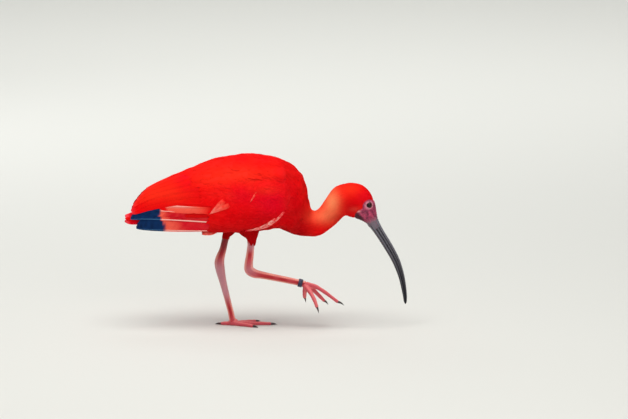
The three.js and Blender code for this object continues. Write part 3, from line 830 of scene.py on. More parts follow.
def to_face(x, z):
    """Distance in mm to the outline of the bare face, negative inside.

    A point is inside where a level ray from it crosses the outline an odd number of times.
    """
    start, end = FACE_EDGE, np.roll(FACE_EDGE, -1, 0)
    px, pz = x[..., None] - start[:, 0], z[..., None] - start[:, 1]
    ex, ez = (end - start).T
    t = np.clip((px * ex + pz * ez) / (ex**2 + ez**2), 0, 1)
    gap = np.hypot(px - t * ex, pz - t * ez).min(-1)
    spans = (start[:, 1] > z[..., None]) != (end[:, 1] > z[..., None])
    crossed = spans & (px < pz * ex / np.where(ez == 0, 1, ez))
    return np.where(crossed.sum(-1) % 2 == 1, -gap, gap)


print("eye to face edge:", to_face(EYE[:1], EYE[2:]).round(1), "mm")

# %% [markdown]
# ## Skin
# Under the feathers lies one skin: body, neck and head are a net that is lowered from the outside by the
# depth of the plumage, which is thick on the body, thin on the head and nothing on the bare face. Around
# each eye a finer round net carries the folds of the lids.

# %% Skin of body, neck and head
EYE_RADIUS = 5.0
LID_OPENING = 3.2
ORBIT = 8.6
SKIN_END_X = -192.0
# The gape starts here and falls by this slope towards the bill.
GAPE_X, GAPE_Z, GAPE_SLOPE = 139.8, 177.3, 0.95


def coat_depth(points):
    """Plumage depth: 9 mm on the body, 4 on the neck, 2.2 on the head and 0.2 on the bare face."""
    x, z = points[..., 0], points[..., 2]
    depth = 9 - 5 * ease(x, 10, 60) - 1.8 * ease(x, 95, 130)
    depth = depth * (0.45 + 0.55 * ease(x, -190, -120))
    return 0.2 + (depth - 0.2) * ease(to_face(x, z), -1.2, 2.2)


def face_folds(points):
    """Low folds of bare skin: wrinkles that follow the gape, and an orbit that sinks towards the eye."""
    x, z = points[..., 0], points[..., 2]
    bare = 1 - ease(to_face(x, z), -2.5, 0.5)
    from_eye = np.hypot(x - EYE[0], z - EYE[2])
    crease = np.sin((x * 0.42 + z) * 1.9 + 0.8 * mottle(points, 6, 5)) * 0.16
    pores = mottle(points, 2.2, 6) * 0.06
    hollow = -1.0 * bell(from_eye, 0, 8.0)
    above_gape = (z - GAPE_Z) + GAPE_SLOPE * (x - GAPE_X)
    gape = bell(above_gape, 0, 0.9) * ease(x, 138, 141) * (1 - ease(x, 150, 158))
    return bare * (crease + pores) + hollow * (np.abs(points[..., 1]) > 4) - 0.55 * gape * bare


def face_colour(points):
    """Mauve pink with purple spots, paler round the eye, maroon on the chin, pale at the gape's corner."""
    x, z = points[..., 0], points[..., 2]
    from_eye = np.hypot(x - EYE[0], z - EYE[2])
    colour = mix(FACE_PINK, FACE_MAUVE, 0.40 + 0.40 * mottle(points, 9, 8) + 0.25 * mottle(points, 3, 9))
    chin = ease(-(z + 0.85 * (x - 140)), -176.8, -172.0)
    colour = mix(colour, CHIN_MAROON, 0.97 * chin * (1 - 0.6 * ease(x, 144, 151)))
    colour = mix(colour, LID_PINK, (0.75 + 0.25 * mottle(points, 3, 10)) * (1 - ease(from_eye, 4.8, 7.6)))
    near_bill = ease(0.485 * x - 0.874 * z, -71, -59) + 0.12 * mottle(points, 4, 12)
    colour = mix(mix(colour, HORN_ROSY, 0.9 * near_bill), HORN_GREY, 0.75 * ease(near_bill, 0.6, 1.0))
    return mix(colour, GAPE_PINK, 0.95 * bell(x, 140.4, 2.8) * bell(z, 178.0, 1.6))


def skin_colour(points):
    """Feathered skin has the coat's colour and painted light, and the face its own."""
    bare = 1 - ease(to_face(points[..., 0], points[..., 2]), -0.8, 0.8)
    return mix(coat_colour_and_light(points) * 0.8, face_colour(points), bare)


from_eye = np.hypot(body.points[..., 0] - EYE[0], body.points[..., 2] - EYE[2])
sunk = 1.3 * (1 - ease(from_eye, ORBIT - 2.2, ORBIT - 0.3)) * (np.abs(body.points[..., 1]) > 3)
skin_net = body.points + body.normal * (face_folds(body.points) - coat_depth(body.points) - sunk)[..., None]
skin_tint = skin_colour(body.points)
# The skin ends in the root of the tail, and the tail's feathers go on.
first_ring = int((body.points[:, 0, 0] < SKIN_END_X).sum())
skin_net, skin_tint = skin_net[first_ring:], skin_tint[first_ring:]
poles = np.stack([skin_net[0].mean(0), skin_net[-1].mean(0) + [1.5, 0, -4]])
skin_parts = [(np.concatenate([skin_net.reshape(-1, 3), poles]), *tube_faces(len(skin_net), body.columns),
               np.concatenate([skin_tint.reshape(-1, 3), skin_tint[[0, -1], 0]]))]
print("skin net", skin_net.shape)

# %% Lids
LID_RADII = np.concatenate([np.linspace(2.9, 5.4, 16, endpoint=False), np.linspace(5.4, ORBIT, 16)])
LID_STEPS = 72
turn = np.linspace(0, 2 * np.pi, LID_STEPS, endpoint=False)
for side in (RIGHT, LEFT):
    r, a = np.meshgrid(LID_RADII, turn, indexing="ij")
    ring, column = body.under((EYE[0] + 1.07 * r * np.cos(a)).ravel(), (EYE[2] + r * np.sin(a)).ravel(), side)
    ground_points = body.read(body.points, ring, column)
    low = body.read(body.normal, ring, column) * (face_folds(ground_points) - 0.15)[:, None]
    net = (ground_points + low).reshape(len(LID_RADII), LID_STEPS, 3)
    ball = EYE[1] + np.sqrt(EYE_RADIUS**2 - np.minimum(r, EYE_RADIUS) ** 2)
    rim = 0.75 * bell(r, 4.1, 0.75) + 0.3 * bell(r, 6.0, 0.55)
    rim -= 0.28 * bell(r, 5.1, 0.4)
    rim += 0.07 * np.sin(26 * a + 3 * r) * ease(r, 3.6, 4.4) * (1 - ease(r, 7, 8.4))
    height = np.abs(net[..., 1]) + rim
    wall = ease(r, LID_OPENING - 0.3, LID_OPENING + 0.45)
    net[..., 1] = side * (np.minimum(ball - 0.3, height) * (1 - wall) + height * wall)
    tint = mix(face_colour(net), DEEP_RED * 0.3, 0.85 * (1 - ease(r, LID_OPENING - 0.1, LID_OPENING + 0.35)))
    quads, tris = tube_faces(len(LID_RADII), LID_STEPS)
    if side == LEFT:
        quads = quads[:, ::-1]
    skin_parts.append((net.reshape(-1, 3), quads, tris[:0], tint.reshape(-1, 3)))
print("lids:", len(LID_RADII) * LID_STEPS, "points each")

# %% [markdown]
# ## Bare legs
# A leg is a tube along rows of x, y, z, depth and width, and so are the toes. Where toes meet the pad
# real skin runs on without a seam, so the tubes are fused by a voxel remesh and smoothed. Each point of
# the fused mesh then looks up the nearest spot on the tubes' middle lines, which gives how far along and
# how far round it lies. With those two, scutes in front, small scales at the sides and the stripes of
# colour are worked out as waves.

# %% Rows of legs and toes
# x, y, z, depth and width, from the thigh down.
LEGS = {
    "left": np.array([
        [-60, 21.2, 137, 11, 10],
        [-62, 20.5, 130, 10.2, 9.4],
        [-65.5, 19.5, 115, 10.6, 9.6],
        [-69.5, 18.3, 103, 13.2, 11.2],
        [-71, 17.5, 94, 15, 12.4],
        [-69.5, 16.2, 83, 14, 11.4],
        [-66.4, 14, 69, 11.4, 9.6],
        [-62, 11.4, 52, 9.8, 8.6],
        [-57.6, 8.8, 35, 9.2, 8],
        [-53.6, 6.6, 19.5, 9, 8],
        [-51, 5.4, 7, 9.6, 9],
    ]),
    "right": np.array([
        [-22.6, -25.8, 137, 11.4, 10.6],
        [-22.4, -25.5, 128, 10.6, 9.8],
        [-24, -25.5, 112, 11.6, 10.2],
        [-25.7, -25.5, 99.5, 12.8, 11.2],
        [-25, -25.4, 90, 14.2, 12.4],
        [-17.8, -25.2, 84.6, 13.8, 12],
        [-7, -25, 82, 11.4, 10.2],
        [12, -25, 78.2, 10.2, 9],
        [34, -25, 73.8, 9.8, 8.4],
        [48, -25, 70.8, 9.4, 8.2],
        [60, -25, 67.6, 9.8, 9],
    ]),
}
# The pad under the toes: its middle and half sizes. Nothing of a foot goes below its floor.
PADS = {"left": ([-49.6, 5, 4.5], [7.6, 7, 6.4]), "right": ([62.2, -25, 65.4], [6.6, 6.4, 5.2])}
FLOORS = {"left": 0.0, "right": -np.inf}
# Toes on the ground: bearing in degrees, to the left of forwards, and reach in mm. Lifted toes: five middles.
GROUND_TOES = {"middle": (1, 67), "inner": (-37, 48), "outer": (38, 52), "hind": (172, 29)}
LIFTED_TOES = {
    "middle": [[62, -25.5, 68], [76, -26, 64], [90, -26.4, 55.6], [109.5, -27, 40.8], [119.3, -27, 35]],
    "inner": [[62, -22, 66], [72, -17.5, 58], [83, -13, 46.5], [89, -11, 40], [95, -9.6, 33.5]],
    "outer": [[60, -27, 65], [67, -33, 57.6], [73.6, -39, 46.5], [78, -43, 35], [80.6, -44.6, 26]],
    "hind": [[60.4, -24.6, 64], [59.4, -24, 57], [59, -23.6, 51], [59.4, -23.4, 46.4], [61, -23.2, 39]],
}
CLAW_LENGTH, TOE_DEPTH, TOE_WIDTH, TOE_SINK = 10.0, 6.6, 7.0, 0.38


def toe_middles(foot, toe):
    """Five middles of a toe from the pad to the claw's tip; the last two are the ends of the claw."""
    if foot == "right":
        return np.array(LIFTED_TOES[toe], float)
    bearing, reach = GROUND_TOES[toe]
    pad = np.array(PADS["left"][0])
    away = np.array([np.cos(np.radians(bearing)), np.sin(np.radians(bearing)), 0])
    fleshy = reach - CLAW_LENGTH
    spots = np.array([2.0, fleshy * 0.4, fleshy * 0.72, fleshy, reach])
    heights = np.array([1.15, 1.0, 0.95, 0.8, 0.35]) * TOE_SINK * TOE_DEPTH
    middles = pad + away * spots[:, None]
    middles[:, 2] = heights
    return middles


def toe_rows(foot, toe):
    """Toe rows with pads between the joints: the size tapers, and a wave gives three swellings."""
    share = np.linspace(0, 1, 13)
    middles = curve_through(toe_middles(foot, toe)[:4], share * 3)
    size = (1.14 - 0.42 * share) * (1 + 0.05 * np.cos(share * 3 * 2 * np.pi))
    return np.concatenate([middles, (TOE_DEPTH * size)[:, None], (TOE_WIDTH * size)[:, None]], 1)


print("toe reach on the ground:", (toe_middles("left", "middle")[-1] - PADS["left"][0]).round(1))

# %% Tubes for legs and toes


def limb_frames(rows, place, across=(0.0, 1.0, 0.0)):
    """Middle, side, front and run. The side is across made square to the run; the front is run x side."""
    middle = curve_through(rows, place)
    run = curve_through(rows, place + 0.02)[..., :3] - curve_through(rows, place - 0.02)[..., :3]
    run /= np.linalg.norm(run, axis=-1, keepdims=True)
    across = np.broadcast_to(np.asarray(across, float), run.shape)
    side = across - run * (run * across).sum(-1, keepdims=True)
    side /= np.linalg.norm(side, axis=-1, keepdims=True)
    return middle, side, np.cross(run, side), run


def limb_net(rows, rings, sides, across=(0.0, 1.0, 0.0)):
    """Ellipses on the limb's frames: middle + side x width/2 sin + front x depth/2 cos."""
    middle, side, front, _ = limb_frames(rows, np.linspace(0, len(rows) - 1, rings), across)
    angle = np.linspace(0, 2 * np.pi, sides, endpoint=False)[None, :, None]
    wide, deep = middle[:, None, 4:5] / 2, middle[:, None, 3:4] / 2
    return middle[:, None, :3] + side[:, None] * wide * np.sin(angle) + front[:, None] * deep * np.cos(angle)


def closed_tube(net):
    """A net's points with a pole at each end, and its faces, turned outwards."""
    poles = np.stack([net[0].mean(0), net[-1].mean(0)])
    points = np.concatenate([net.reshape(-1, 3), poles])
    return points, *outward(points, *tube_faces(*net.shape[:2]))


def pad_net(middle, half, rings=16, sides=24):
    """An ellipsoid as rings from its lowest to its highest point."""
    lift = np.linspace(-1, 1, rings + 2)[1:-1, None] * np.pi / 2
    turn = np.linspace(0, 2 * np.pi, sides, endpoint=False)[None]
    unit = np.broadcast_arrays(np.cos(lift) * np.cos(turn), np.cos(lift) * np.sin(turn), np.sin(lift))
    return np.array(middle) + np.stack(unit, -1) * np.array(half)


TOE_SQUARE = {foot: {} for foot in SIDES}
for foot in SIDES:
    for toe in GROUND_TOES:
        run = toe_middles(foot, toe)[3] - toe_middles(foot, toe)[0]
        flat = np.cross([0, 0, 1], run)
        TOE_SQUARE[foot][toe] = flat / np.linalg.norm(flat)

# %% Fuse and smooth each leg
VOXEL_MM = 0.7


def fused(name, tubes, floor):
    """One closed mesh round all tubes: a voxel remesh and a smoothing, taken from the evaluated object."""
    mesh = bpy.data.meshes.new(name)
    points, quads, tris, start = [], [], [], 0
    for tube_points, tube_quads, tube_tris in tubes:
        points.append(tube_points)
        quads.append(tube_quads + start)
        tris.append(tube_tris + start)
        start += len(tube_points)
    mesh.from_pydata(np.concatenate(points).tolist(), [],
                     np.concatenate(quads).tolist() + np.concatenate(tris).tolist())
    draft = bpy.data.objects.new(name, mesh)
    bpy.context.scene.collection.objects.link(draft)
    remesh = draft.modifiers.new("fuse", "REMESH")
    remesh.mode, remesh.voxel_size = "VOXEL", VOXEL_MM
    smooth = draft.modifiers.new("smooth", "SMOOTH")
    smooth.factor, smooth.iterations = 0.5, 4
    ready = draft.evaluated_get(bpy.context.evaluated_depsgraph_get()).to_mesh()
    places = np.empty(len(ready.vertices) * 3, np.float32)
    ready.vertices.foreach_get("co", places)
    directions = np.empty(len(ready.vertices) * 3, np.float32)
    ready.vertices.foreach_get("normal", directions)
    corners = np.empty(len(ready.loops), np.int32)
    ready.loops.foreach_get("vertex_index", corners)
    bpy.data.objects.remove(draft)
    places = places.reshape(-1, 3).astype(float)
    places[:, 2] = np.maximum(places[:, 2], floor)
    return places, directions.reshape(-1, 3).astype(float), corners.reshape(-1, 4)


print("a leg is fused with cells of", VOXEL_MM, "mm")

# %% Scutes, scales and colours of the legs
# Points looked up at a time, the pitch of scutes and scales, and the leg's mean radius.
CHUNK = 4000
LEG_SCUTE_MM, TOE_SCUTE_MM, SCALE_MM, LEG_RADIUS_MM = 3.4, 2.3, 1.9, 4.6


def leg_relief(places, directions, middles, fronts, runs, far, kinds):
    """Scutes and scales: along and round come from the nearest of the middle line's spots.

    A scute is |sin| of the run over its pitch, to a low power, and scales are sin x sin of along and round.
    """
    nearest = np.empty(len(places), int)
    for start in range(0, len(places), CHUNK):
        gap = ((places[start : start + CHUNK, None] - middles[None]) ** 2).sum(-1)
        nearest[start : start + CHUNK] = gap.argmin(1)
    out = places - middles[nearest]
    run = (out * runs[nearest]).sum(-1)
    along = far[nearest] + run
    out = out - runs[nearest] * run[:, None]
    out /= np.linalg.norm(out, axis=1, keepdims=True) + 1e-9
    facing = (out * fronts[nearest]).sum(-1)
    toe = kinds[nearest] == 1
    pitch = np.where(toe, TOE_SCUTE_MM, LEG_SCUTE_MM)
    front = ease(facing, 0.35, 0.6)
    plate = np.abs(np.sin(np.pi * along / pitch + 0.25 * facing)) ** 0.3
    round_mm = np.arccos(np.clip(facing, -1, 1)) * LEG_RADIUS_MM
    net = np.sin(2 * np.pi * along / SCALE_MM) * np.sin(2 * np.pi * round_mm / SCALE_MM)
    lift = (front * (0.34 * plate - 0.2) + (1 - front) * 0.13 * net) * np.where(toe, 0.55, 1.0)
    colour = mix(LEG_RED, LEG_EDGE, ease(np.abs(facing), 0.36, 0.88) * 0.85)
    colour = mix(colour, LEG_PINK, np.where(toe, 0.75, 0.15 + 0.25 * mottle(places, 22, 11)))
    colour = colour * (0.78 + 0.28 * np.where(front > 0.5, plate, 0.5 + 0.5 * net))[:, None]
    return places + directions * lift[:, None], colour


def leg_shade(foot, places, tint):
    """Mauve on the near heel, under the near knee and on the far shin; painted shade on the far shank; red
    above.
    """
    x, z = places[:, 0], places[:, 2]
    if foot == "right":
        tint = mix(tint, LEG_MAUVE, 0.4 * bell(x, -24, 11) * bell(z, 90, 10))
        tint = mix(tint, LEG_MAUVE, 0.5 * ease(z, 113, 126))
    else:
        tint = mix(tint, LEG_MAUVE, 0.7 * (1 - ease(z, 80, 112)) * ease(z, 24, 56))
        # Painted shade on the far shank.
        tint = mix(tint, LEG_SHADE, 0.8 * ease(z, 100, 124))
    return mix(tint, DEEP_RED, ease(z, 129, 135))


print("a scute every", LEG_SCUTE_MM, "mm")

# %% Webs, and both legs
WEB_PLACE, WEB_DEPTH, WEB_THICKNESS = 0.62, 15.0, 2.6
# Painted shade in the bill's grooves and along its closing line.
# Rings and points round of the leg, toe and web tubes, and spots along each middle line.
LEG_NET, TOE_NET, WEB_NET = (90, 28), (40, 20), (14, 20)
LINE_SPOTS = 150


def web_net(foot, first, second):
    """The small web at the base of two toes: a flat lens from toe to toe, in the plane of both."""
    a, b = (curve_through(toe_middles(foot, toe)[:4], WEB_PLACE) for toe in (first, second))
    ways = [toe_middles(foot, toe)[3] - toe_middles(foot, toe)[0] for toe in (first, second)]
    share = np.linspace(0, 1, 7)[:, None]
    size = np.broadcast_to([WEB_DEPTH, WEB_THICKNESS], (7, 2)) * (1 - 0.35 * np.sin(np.pi * share))
    return limb_net(np.concatenate([a + (b - a) * share, size], 1), *WEB_NET, np.cross(*ways))


for foot in SIDES:
    rows = LEGS[foot]
    tubes = [closed_tube(limb_net(rows, *LEG_NET))]
    tubes += [closed_tube(web_net(foot, "middle", toe)) for toe in ("inner", "outer")]
    tubes.append(closed_tube(pad_net(*PADS[foot])))
    lines = [(rows, (0.0, 1.0, 0.0), 0)]
    for toe in GROUND_TOES:
        lines.append((toe_rows(foot, toe), TOE_SQUARE[foot][toe], 1))
        tubes.append(closed_tube(limb_net(toe_rows(foot, toe), *TOE_NET, TOE_SQUARE[foot][toe])))
    middles, fronts, runs, far, kinds = [], [], [], [], []
    for line, across, kind in lines:
        middle, _, front, run = limb_frames(line, np.linspace(0, len(line) - 1, LINE_SPOTS), across)
        length = np.linalg.norm(np.diff(middle[:, :3], axis=0), axis=1)
        if kind == 1 and foot == "left":
            front = front * np.sign(front[:, 2:3] + 1e-9)
        middles.append(middle[:, :3])
        fronts.append(front)
        runs.append(run)
        far.append(np.concatenate([[0], np.cumsum(length)]))
        kinds.append(np.full(len(middle), kind))
    places, directions, corners = fused(f"leg_{foot}_draft", tubes, FLOORS[foot])
    spots = (np.concatenate(part) for part in (middles, fronts, runs, far, kinds))
    places, tint = leg_relief(places, directions, *spots)
    places[:, 2] = np.maximum(places[:, 2], FLOORS[foot])
    tint = leg_shade(foot, places, tint)
    skin_parts.append((places, corners, np.empty((0, 3), int), tint))
    print(f"{foot} leg: {len(corners)} quads")

# %% One skin
offsets = np.cumsum([0] + [len(part[0]) for part in skin_parts[:-1]])
skin_points = np.concatenate([part[0] for part in skin_parts])
body_quads, body_tris = outward(skin_parts[0][0], skin_parts[0][1], skin_parts[0][2])
skin_parts[0] = (skin_parts[0][0], body_quads, body_tris, skin_parts[0][3])
skin_quads = np.concatenate([part[1] + shift for part, shift in zip(skin_parts, offsets)])
skin_tris = np.concatenate([part[2] + shift for part, shift in zip(skin_parts, offsets)])
skin = new_piece("skin", skin_points, skin_quads, skin_tris, np.concatenate([part[3] for part in skin_parts]),
                 skin_finish, "leg_skin")
flesh = ["trunk", "neck_lower", "neck_middle", "neck_upper", "head"]
for foot in SIDES:
    flesh += [f"{part}_{foot}" for part in ("thigh", "shank", "hock", "tarsus", "foot")]
    flesh += [f"toe_{toe}_{foot}" for toe in GROUND_TOES]
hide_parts(*flesh)

# %% [markdown]
# ## Eyes
# The iris of an adult is so dark that it hardly parts from the pupil. The ball is a set of rings round
# the line of sight, so that pupil and iris get their own rings, and the clear coat makes the highlight.

# %% Eyes
PUPIL_MM, IRIS_MM = 1.7, 3.7
EYE_RINGS, EYE_STEPS = 60, 64
EYE_BLACK, EYE_BROWN, EYE_RIM = linear("#050304"), linear("#27100e"), linear("#5a2a2a")
for word, side in SIDES.items():
    lift = np.linspace(0, np.pi, EYE_RINGS)[1:-1, None]
    turn = np.linspace(0, 2 * np.pi, EYE_STEPS, endpoint=False)[None]
    sight = np.broadcast_arrays(np.sin(lift) * np.cos(turn), side * np.cos(lift), np.sin(lift) * np.sin(turn))
    points, quads, tris = closed_tube(EYE * [1, side, 1] + EYE_RADIUS * np.stack(sight, -1))
    points[-2:] = EYE * [1, side, 1] + np.array([[0, side * EYE_RADIUS, 0], [0, -side * EYE_RADIUS, 0]])
    out = np.hypot(points[:, 0] - EYE[0], points[:, 2] - EYE[2])
    tint = mix(EYE_BLACK, EYE_BROWN, ease(out, PUPIL_MM - 0.12, PUPIL_MM + 0.12))
    tint = mix(tint, EYE_RIM, ease(out, IRIS_MM - 0.2, IRIS_MM + 0.2))
    eye = new_piece(f"eyeball_{word}", points, quads, tris, tint, eye_finish, "eye")
    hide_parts(f"eye_{word}")

# %% [markdown]
# ## The bill
# Each half of the bill is a tube whose cut changes along it. The upper half has a ridge along the top,
# and below it a groove that starts at the nostril and runs almost to the tip. The lower half has a
# shallow groove of its own. The horn is a rosy grey at the base and darkens towards the tip. Painted
# shade darkens the grooves and the closing line, and a painted highlight lightens a band above each groove.

# %% The bill
# x and z of the upper line, x and z of the lower line, and half width.
BILL = np.array([
    [163.5, 176.0, 149.5, 163, 5.6],
    [169, 166.2, 154.6, 156, 6.3],
    [178.9, 147.3, 166.6, 140.4, 5.3],
    [193.2, 123.4, 181.2, 117.7, 4.5],
    [204.2, 100.7, 193.4, 96.2, 4],
    [211.2, 76, 202.2, 74, 3.5],
    [214.7, 51.3, 207.8, 50.6, 3],
    [214.8, 38, 210.2, 37.6, 2.1],
    [213.4, 33.8, 212.2, 33.8, 0.8],
])
CLOSING_LINE = 0.56
BILL_RINGS, BILL_SIDES = 220, 48


def bill_half(share, groove_angle, groove_depth, ridge):
    """Cuts of one half: an ellipse over its share of the depth, pinched by a bell curve's groove."""
    place = np.linspace(0, len(BILL) - 1, BILL_RINGS)
    row = curve_through(BILL, place)[:, None]
    top = row[..., 0:2] + (row[..., 2:4] - row[..., 0:2]) * share[0]
    low = row[..., 0:2] + (row[..., 2:4] - row[..., 0:2]) * share[1]
    angle = np.linspace(-np.pi, np.pi, BILL_SIDES, endpoint=False)[None]
    flat = np.sign(np.cos(angle)) * np.abs(np.cos(angle)) ** ridge
    side_view = low + (top - low) * (0.5 + 0.5 * flat)[..., None]
    along = (place / place[-1])[:, None]
    strong = groove_depth * ease(along, 0.02, 0.07) * (1 - ease(along, 0.84, 0.97))
    dent = 1 - strong * bell(np.abs(angle), groove_angle, 0.2)
    wide = row[..., 4] * np.sin(angle) * dent
    net = np.stack([side_view[..., 0], wide, side_view[..., 1]], -1)
    worn = mottle(net, 9, 21) * 0.07 + mottle(net, 3, 22) * 0.03
    net[..., 1] += worn * np.sign(wide)
    tint = mix(HORN_GREY, HORN_DARK, ease(along, 0.08, 0.85))
    tint = mix(tint, HORN_ROSY, 0.8 * (1 - ease(along, 0.02, 0.2)))
    # Painted shade darkens the groove.
    tint = mix(tint, GROOVE_SHADE, 0.92 * (1 - dent) / groove_depth * ease(along, 0.02, 0.08))
    # Painted highlight: a paler band above the groove, where the light from above falls.
    tint = mix(tint, HORN_GREY * 1.25, 0.35 * bell(np.abs(angle), groove_angle - 0.5, 0.3))
    # Painted shade along the closing line between the two halves.
    closing_angle = np.pi if share[0] == 0 else 0.0
    return net, mix(tint, GROOVE_SHADE, 0.5 * bell(np.abs(angle), closing_angle, 0.4))


for name, share, groove_angle, groove_depth, ridge in (("upper", (0, CLOSING_LINE), 1.5, 0.34, 0.9),
                                                       ("lower", (CLOSING_LINE, 1), 1.75, 0.14, 1.0)):
    net, tint = bill_half(share, groove_angle, groove_depth, ridge)
    points, quads, tris = closed_tube(net)
    tints = np.concatenate([tint.reshape(-1, 3), tint[0, :1], tint[-1, :1]])
    half = new_piece(f"horn_bill_{name}", points, quads, tris, tints, bill_finish, "bill_horn")
    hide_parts(f"bill_{name}")

# %% [markdown]
# ## Claws and leg ring
# A claw is a curved cone. The ring is a turned band with rounded edges; its cut is carried
# once round the shin of the lifted leg.

# %% Claws
CLAW_DEPTH, CLAW_WIDTH = 3.7, 3.0
CLAW_NET = (44, 18)
# The claw starts this share of its length inside the toe, and its middle rises by so many mm.
CLAW_SUNK, CLAW_BEND = 0.12, {"right": 1.3, "left": 0.45}
CLAW_BASE, CLAW_TIP = linear("#5a3236"), linear("#1c1214")
for foot in SIDES:
    for toe in GROUND_TOES:
        middles = toe_middles(foot, toe)
        start, end = middles[3], middles[4]
        run = end - start
        share = np.linspace(-CLAW_SUNK, 1, 22)
        centre = start + run * share[:, None]
        centre[:, 2] += CLAW_BEND[foot] * np.sin(np.pi * np.clip(share, 0, 1))
        taper = np.clip(1 - np.clip(share, 0, 1) ** 1.8, 0.07, 1) * (0.8 + 0.2 * ease(share, -CLAW_SUNK, 0.1))
        rows = np.concatenate([centre, (CLAW_DEPTH * taper)[:, None], (CLAW_WIDTH * taper)[:, None]], 1)
        net = limb_net(rows, *CLAW_NET, TOE_SQUARE[foot][toe])
        net[..., 2] = np.maximum(net[..., 2], FLOORS[foot])
        points, quads, tris = closed_tube(net)
        far = np.linalg.norm(points - start, axis=1)
        tint = mix(CLAW_BASE, CLAW_TIP, ease(far, 0, 6))
        claw = new_piece(f"horn_claw_{toe}_{foot}", points, quads, tris, tint, claw_finish, "claw_horn")
        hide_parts(f"claw_{toe}_{foot}")

# %% The leg ring
RING_X, RING_WIDTH, RING_INNER, RING_OUTER = 52.0, 6.4, 5.3, 6.3
RING_STEPS, RING_CORNERS = 96, 28
# The ring's middle lies between the last two rows of the leg, which are 12 mm apart.
shin = curve_through(LEGS["right"], np.array([9 + (RING_X - 48) / 12.0, 8.9, 9.4]))[:, :3]
shin_run = (shin[2] - shin[1]) / np.linalg.norm(shin[2] - shin[1])
corner = np.linspace(0, 2 * np.pi, RING_CORNERS, endpoint=False)
band = (RING_OUTER - RING_INNER) / 2
cut_out = (RING_INNER + RING_OUTER) / 2 + band * signed_power(np.cos(corner), 0.5)
cut_run = RING_WIDTH / 2 * signed_power(np.sin(corner), 0.28)
turn = np.linspace(0, 2 * np.pi, RING_STEPS, endpoint=False)
ring_side = np.array([0.0, 1.0, 0.0])
ring_up = np.cross(shin_run, ring_side)
lap = 0.22 * ease(np.cos(turn - 2.1), 0.985, 0.997)
ring_net = (shin[0] + shin_run * cut_run[None, :, None]
            + (ring_side * np.sin(turn)[:, None, None] + ring_up * np.cos(turn)[:, None, None])
            * (cut_out[None, :, None] - lap[:, None, None]))
ring_quads = tube_faces(RING_STEPS + 1, RING_CORNERS)[0] % (RING_STEPS * RING_CORNERS)
ring_points = ring_net.reshape(-1, 3)
ring_quads, ring_tris = outward(ring_points, ring_quads, np.empty((0, 3), int))
ring_tint = mix(linear("#15192c"), linear("#3c3a5a"), 0.5 + 0.5 * mottle(ring_points, 7, 31))
leg_ring = new_piece("leg_band_right", ring_points, ring_quads, ring_tris, ring_tint, ring_finish, "leg_ring")
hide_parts("leg_ring_right")

# %% [markdown]
# ## Feathers of head and neck
# The head carries the smallest feathers, about 4 mm long, and they end in a clean line at the bare face.
# Down the neck they grow to 9 mm and become narrow and soft.

# %% Feathers of head and neck
HEAD_X = 124.0


def head_region(points, lean):
    """In front of the nape and outside the bare face."""
    x, z = points[..., 0], points[..., 2]
    return (x > HEAD_X - 2) & (to_face(x, z) > 0.35) & (z > 150)


def neck_region(points, lean):
    """From the base of the neck to the nape."""
    return (points[..., 0] > 60) & (points[..., 0] <= HEAD_X) & (points[..., 2] < 225)


def near_face(roots):
    """Feathers shorten from 5.6 mm to 2.8 mm towards the bare face."""
    return 2.8 + 2.8 * ease(to_face(roots[..., 0], roots[..., 2]), 0, 12)


head_coat = small_feathers(body, head_region, 41, 0.88, near_face, 1.5, lift=(-1.0, -0.3), arch=0.08, sway=9,
                           stations=4)
feather_piece("plumage_head", [head_coat], body_tint, down_finish, "scarlet_plumage", patch_at_root)
neck_coat = small_feathers(body, neck_region, 42, 1.5, lambda r: 10.5 - 4.5 * ease(r[..., 0], 80, 124), 2.4,
                           lift=(-1.0, 0.15), arch=0.14, sway=8, ragged=0.2)
feather_piece("plumage_neck", [neck_coat], body_tint, down_finish, "orange_plumage", patch_at_root)

# %% [markdown]
# ## Feathers of the body
# Breast, belly, mantle and rump are laid on the same ground. Feathers that the folded wing would hide are
# left out, apart from a margin under the wing's edge.

# %% Feathers of the body
# The folded wing's inner edge, its crease and its lower edge: x, and the angle from the top in degrees.
MIDLINE = np.array([[-214, 1.5], [-137, 1.5], [-112, 8], [-60, 13], [40, 15]])
CREASE = np.array([[-214, 60], [-130, 60], [-17, 60], [14, 60], [45, 72]])
LOWER = np.array([[-214, 128], [-165, 139], [-60, 144], [-13, 146], [7, 145], [20, 133], [29, 108], [38, 90]])
WING_FRONT_X = 38.0


def edge_angle(edge, x):
    """The angle of a wing edge at x, in degrees."""
    return np.interp(x, edge[:, 0], edge[:, 1])


def bare_of_wing(points, lean):
    """Where the folded wing leaves the body free, with a margin of a few degrees under its edges."""
    x = points[..., 0]
    free = (lean < edge_angle(MIDLINE, x) + 9) | (lean > edge_angle(LOWER, x) - 13) | (x > WING_FRONT_X - 12)
    return free & (x <= 62) & (points[..., 2] < 270)


def breast_region(points, lean):
    """The front and underside of the body."""
    return bare_of_wing(points, lean) & ((lean > 70) | (points[..., 0] > 40)) & (points[..., 0] > -112)


def mantle_region(points, lean):
    """The back between the wings and the shoulders in front of them."""
    return bare_of_wing(points, lean) & (lean <= 70) & (points[..., 0] <= 40) & (points[..., 0] > -140)


def vent_region(points, lean):
    """The underside behind the legs, up to the tail."""
    return (points[..., 0] <= -112) & (points[..., 0] > -196) & (lean > 96)


def back_region(points, lean):
    """The strip of the back that the folded wings leave free, on the wings' own ground."""
    x = points[..., 0]
    return (x > -150) & (x < 38) & (lean < edge_angle(MIDLINE, x) + 14)


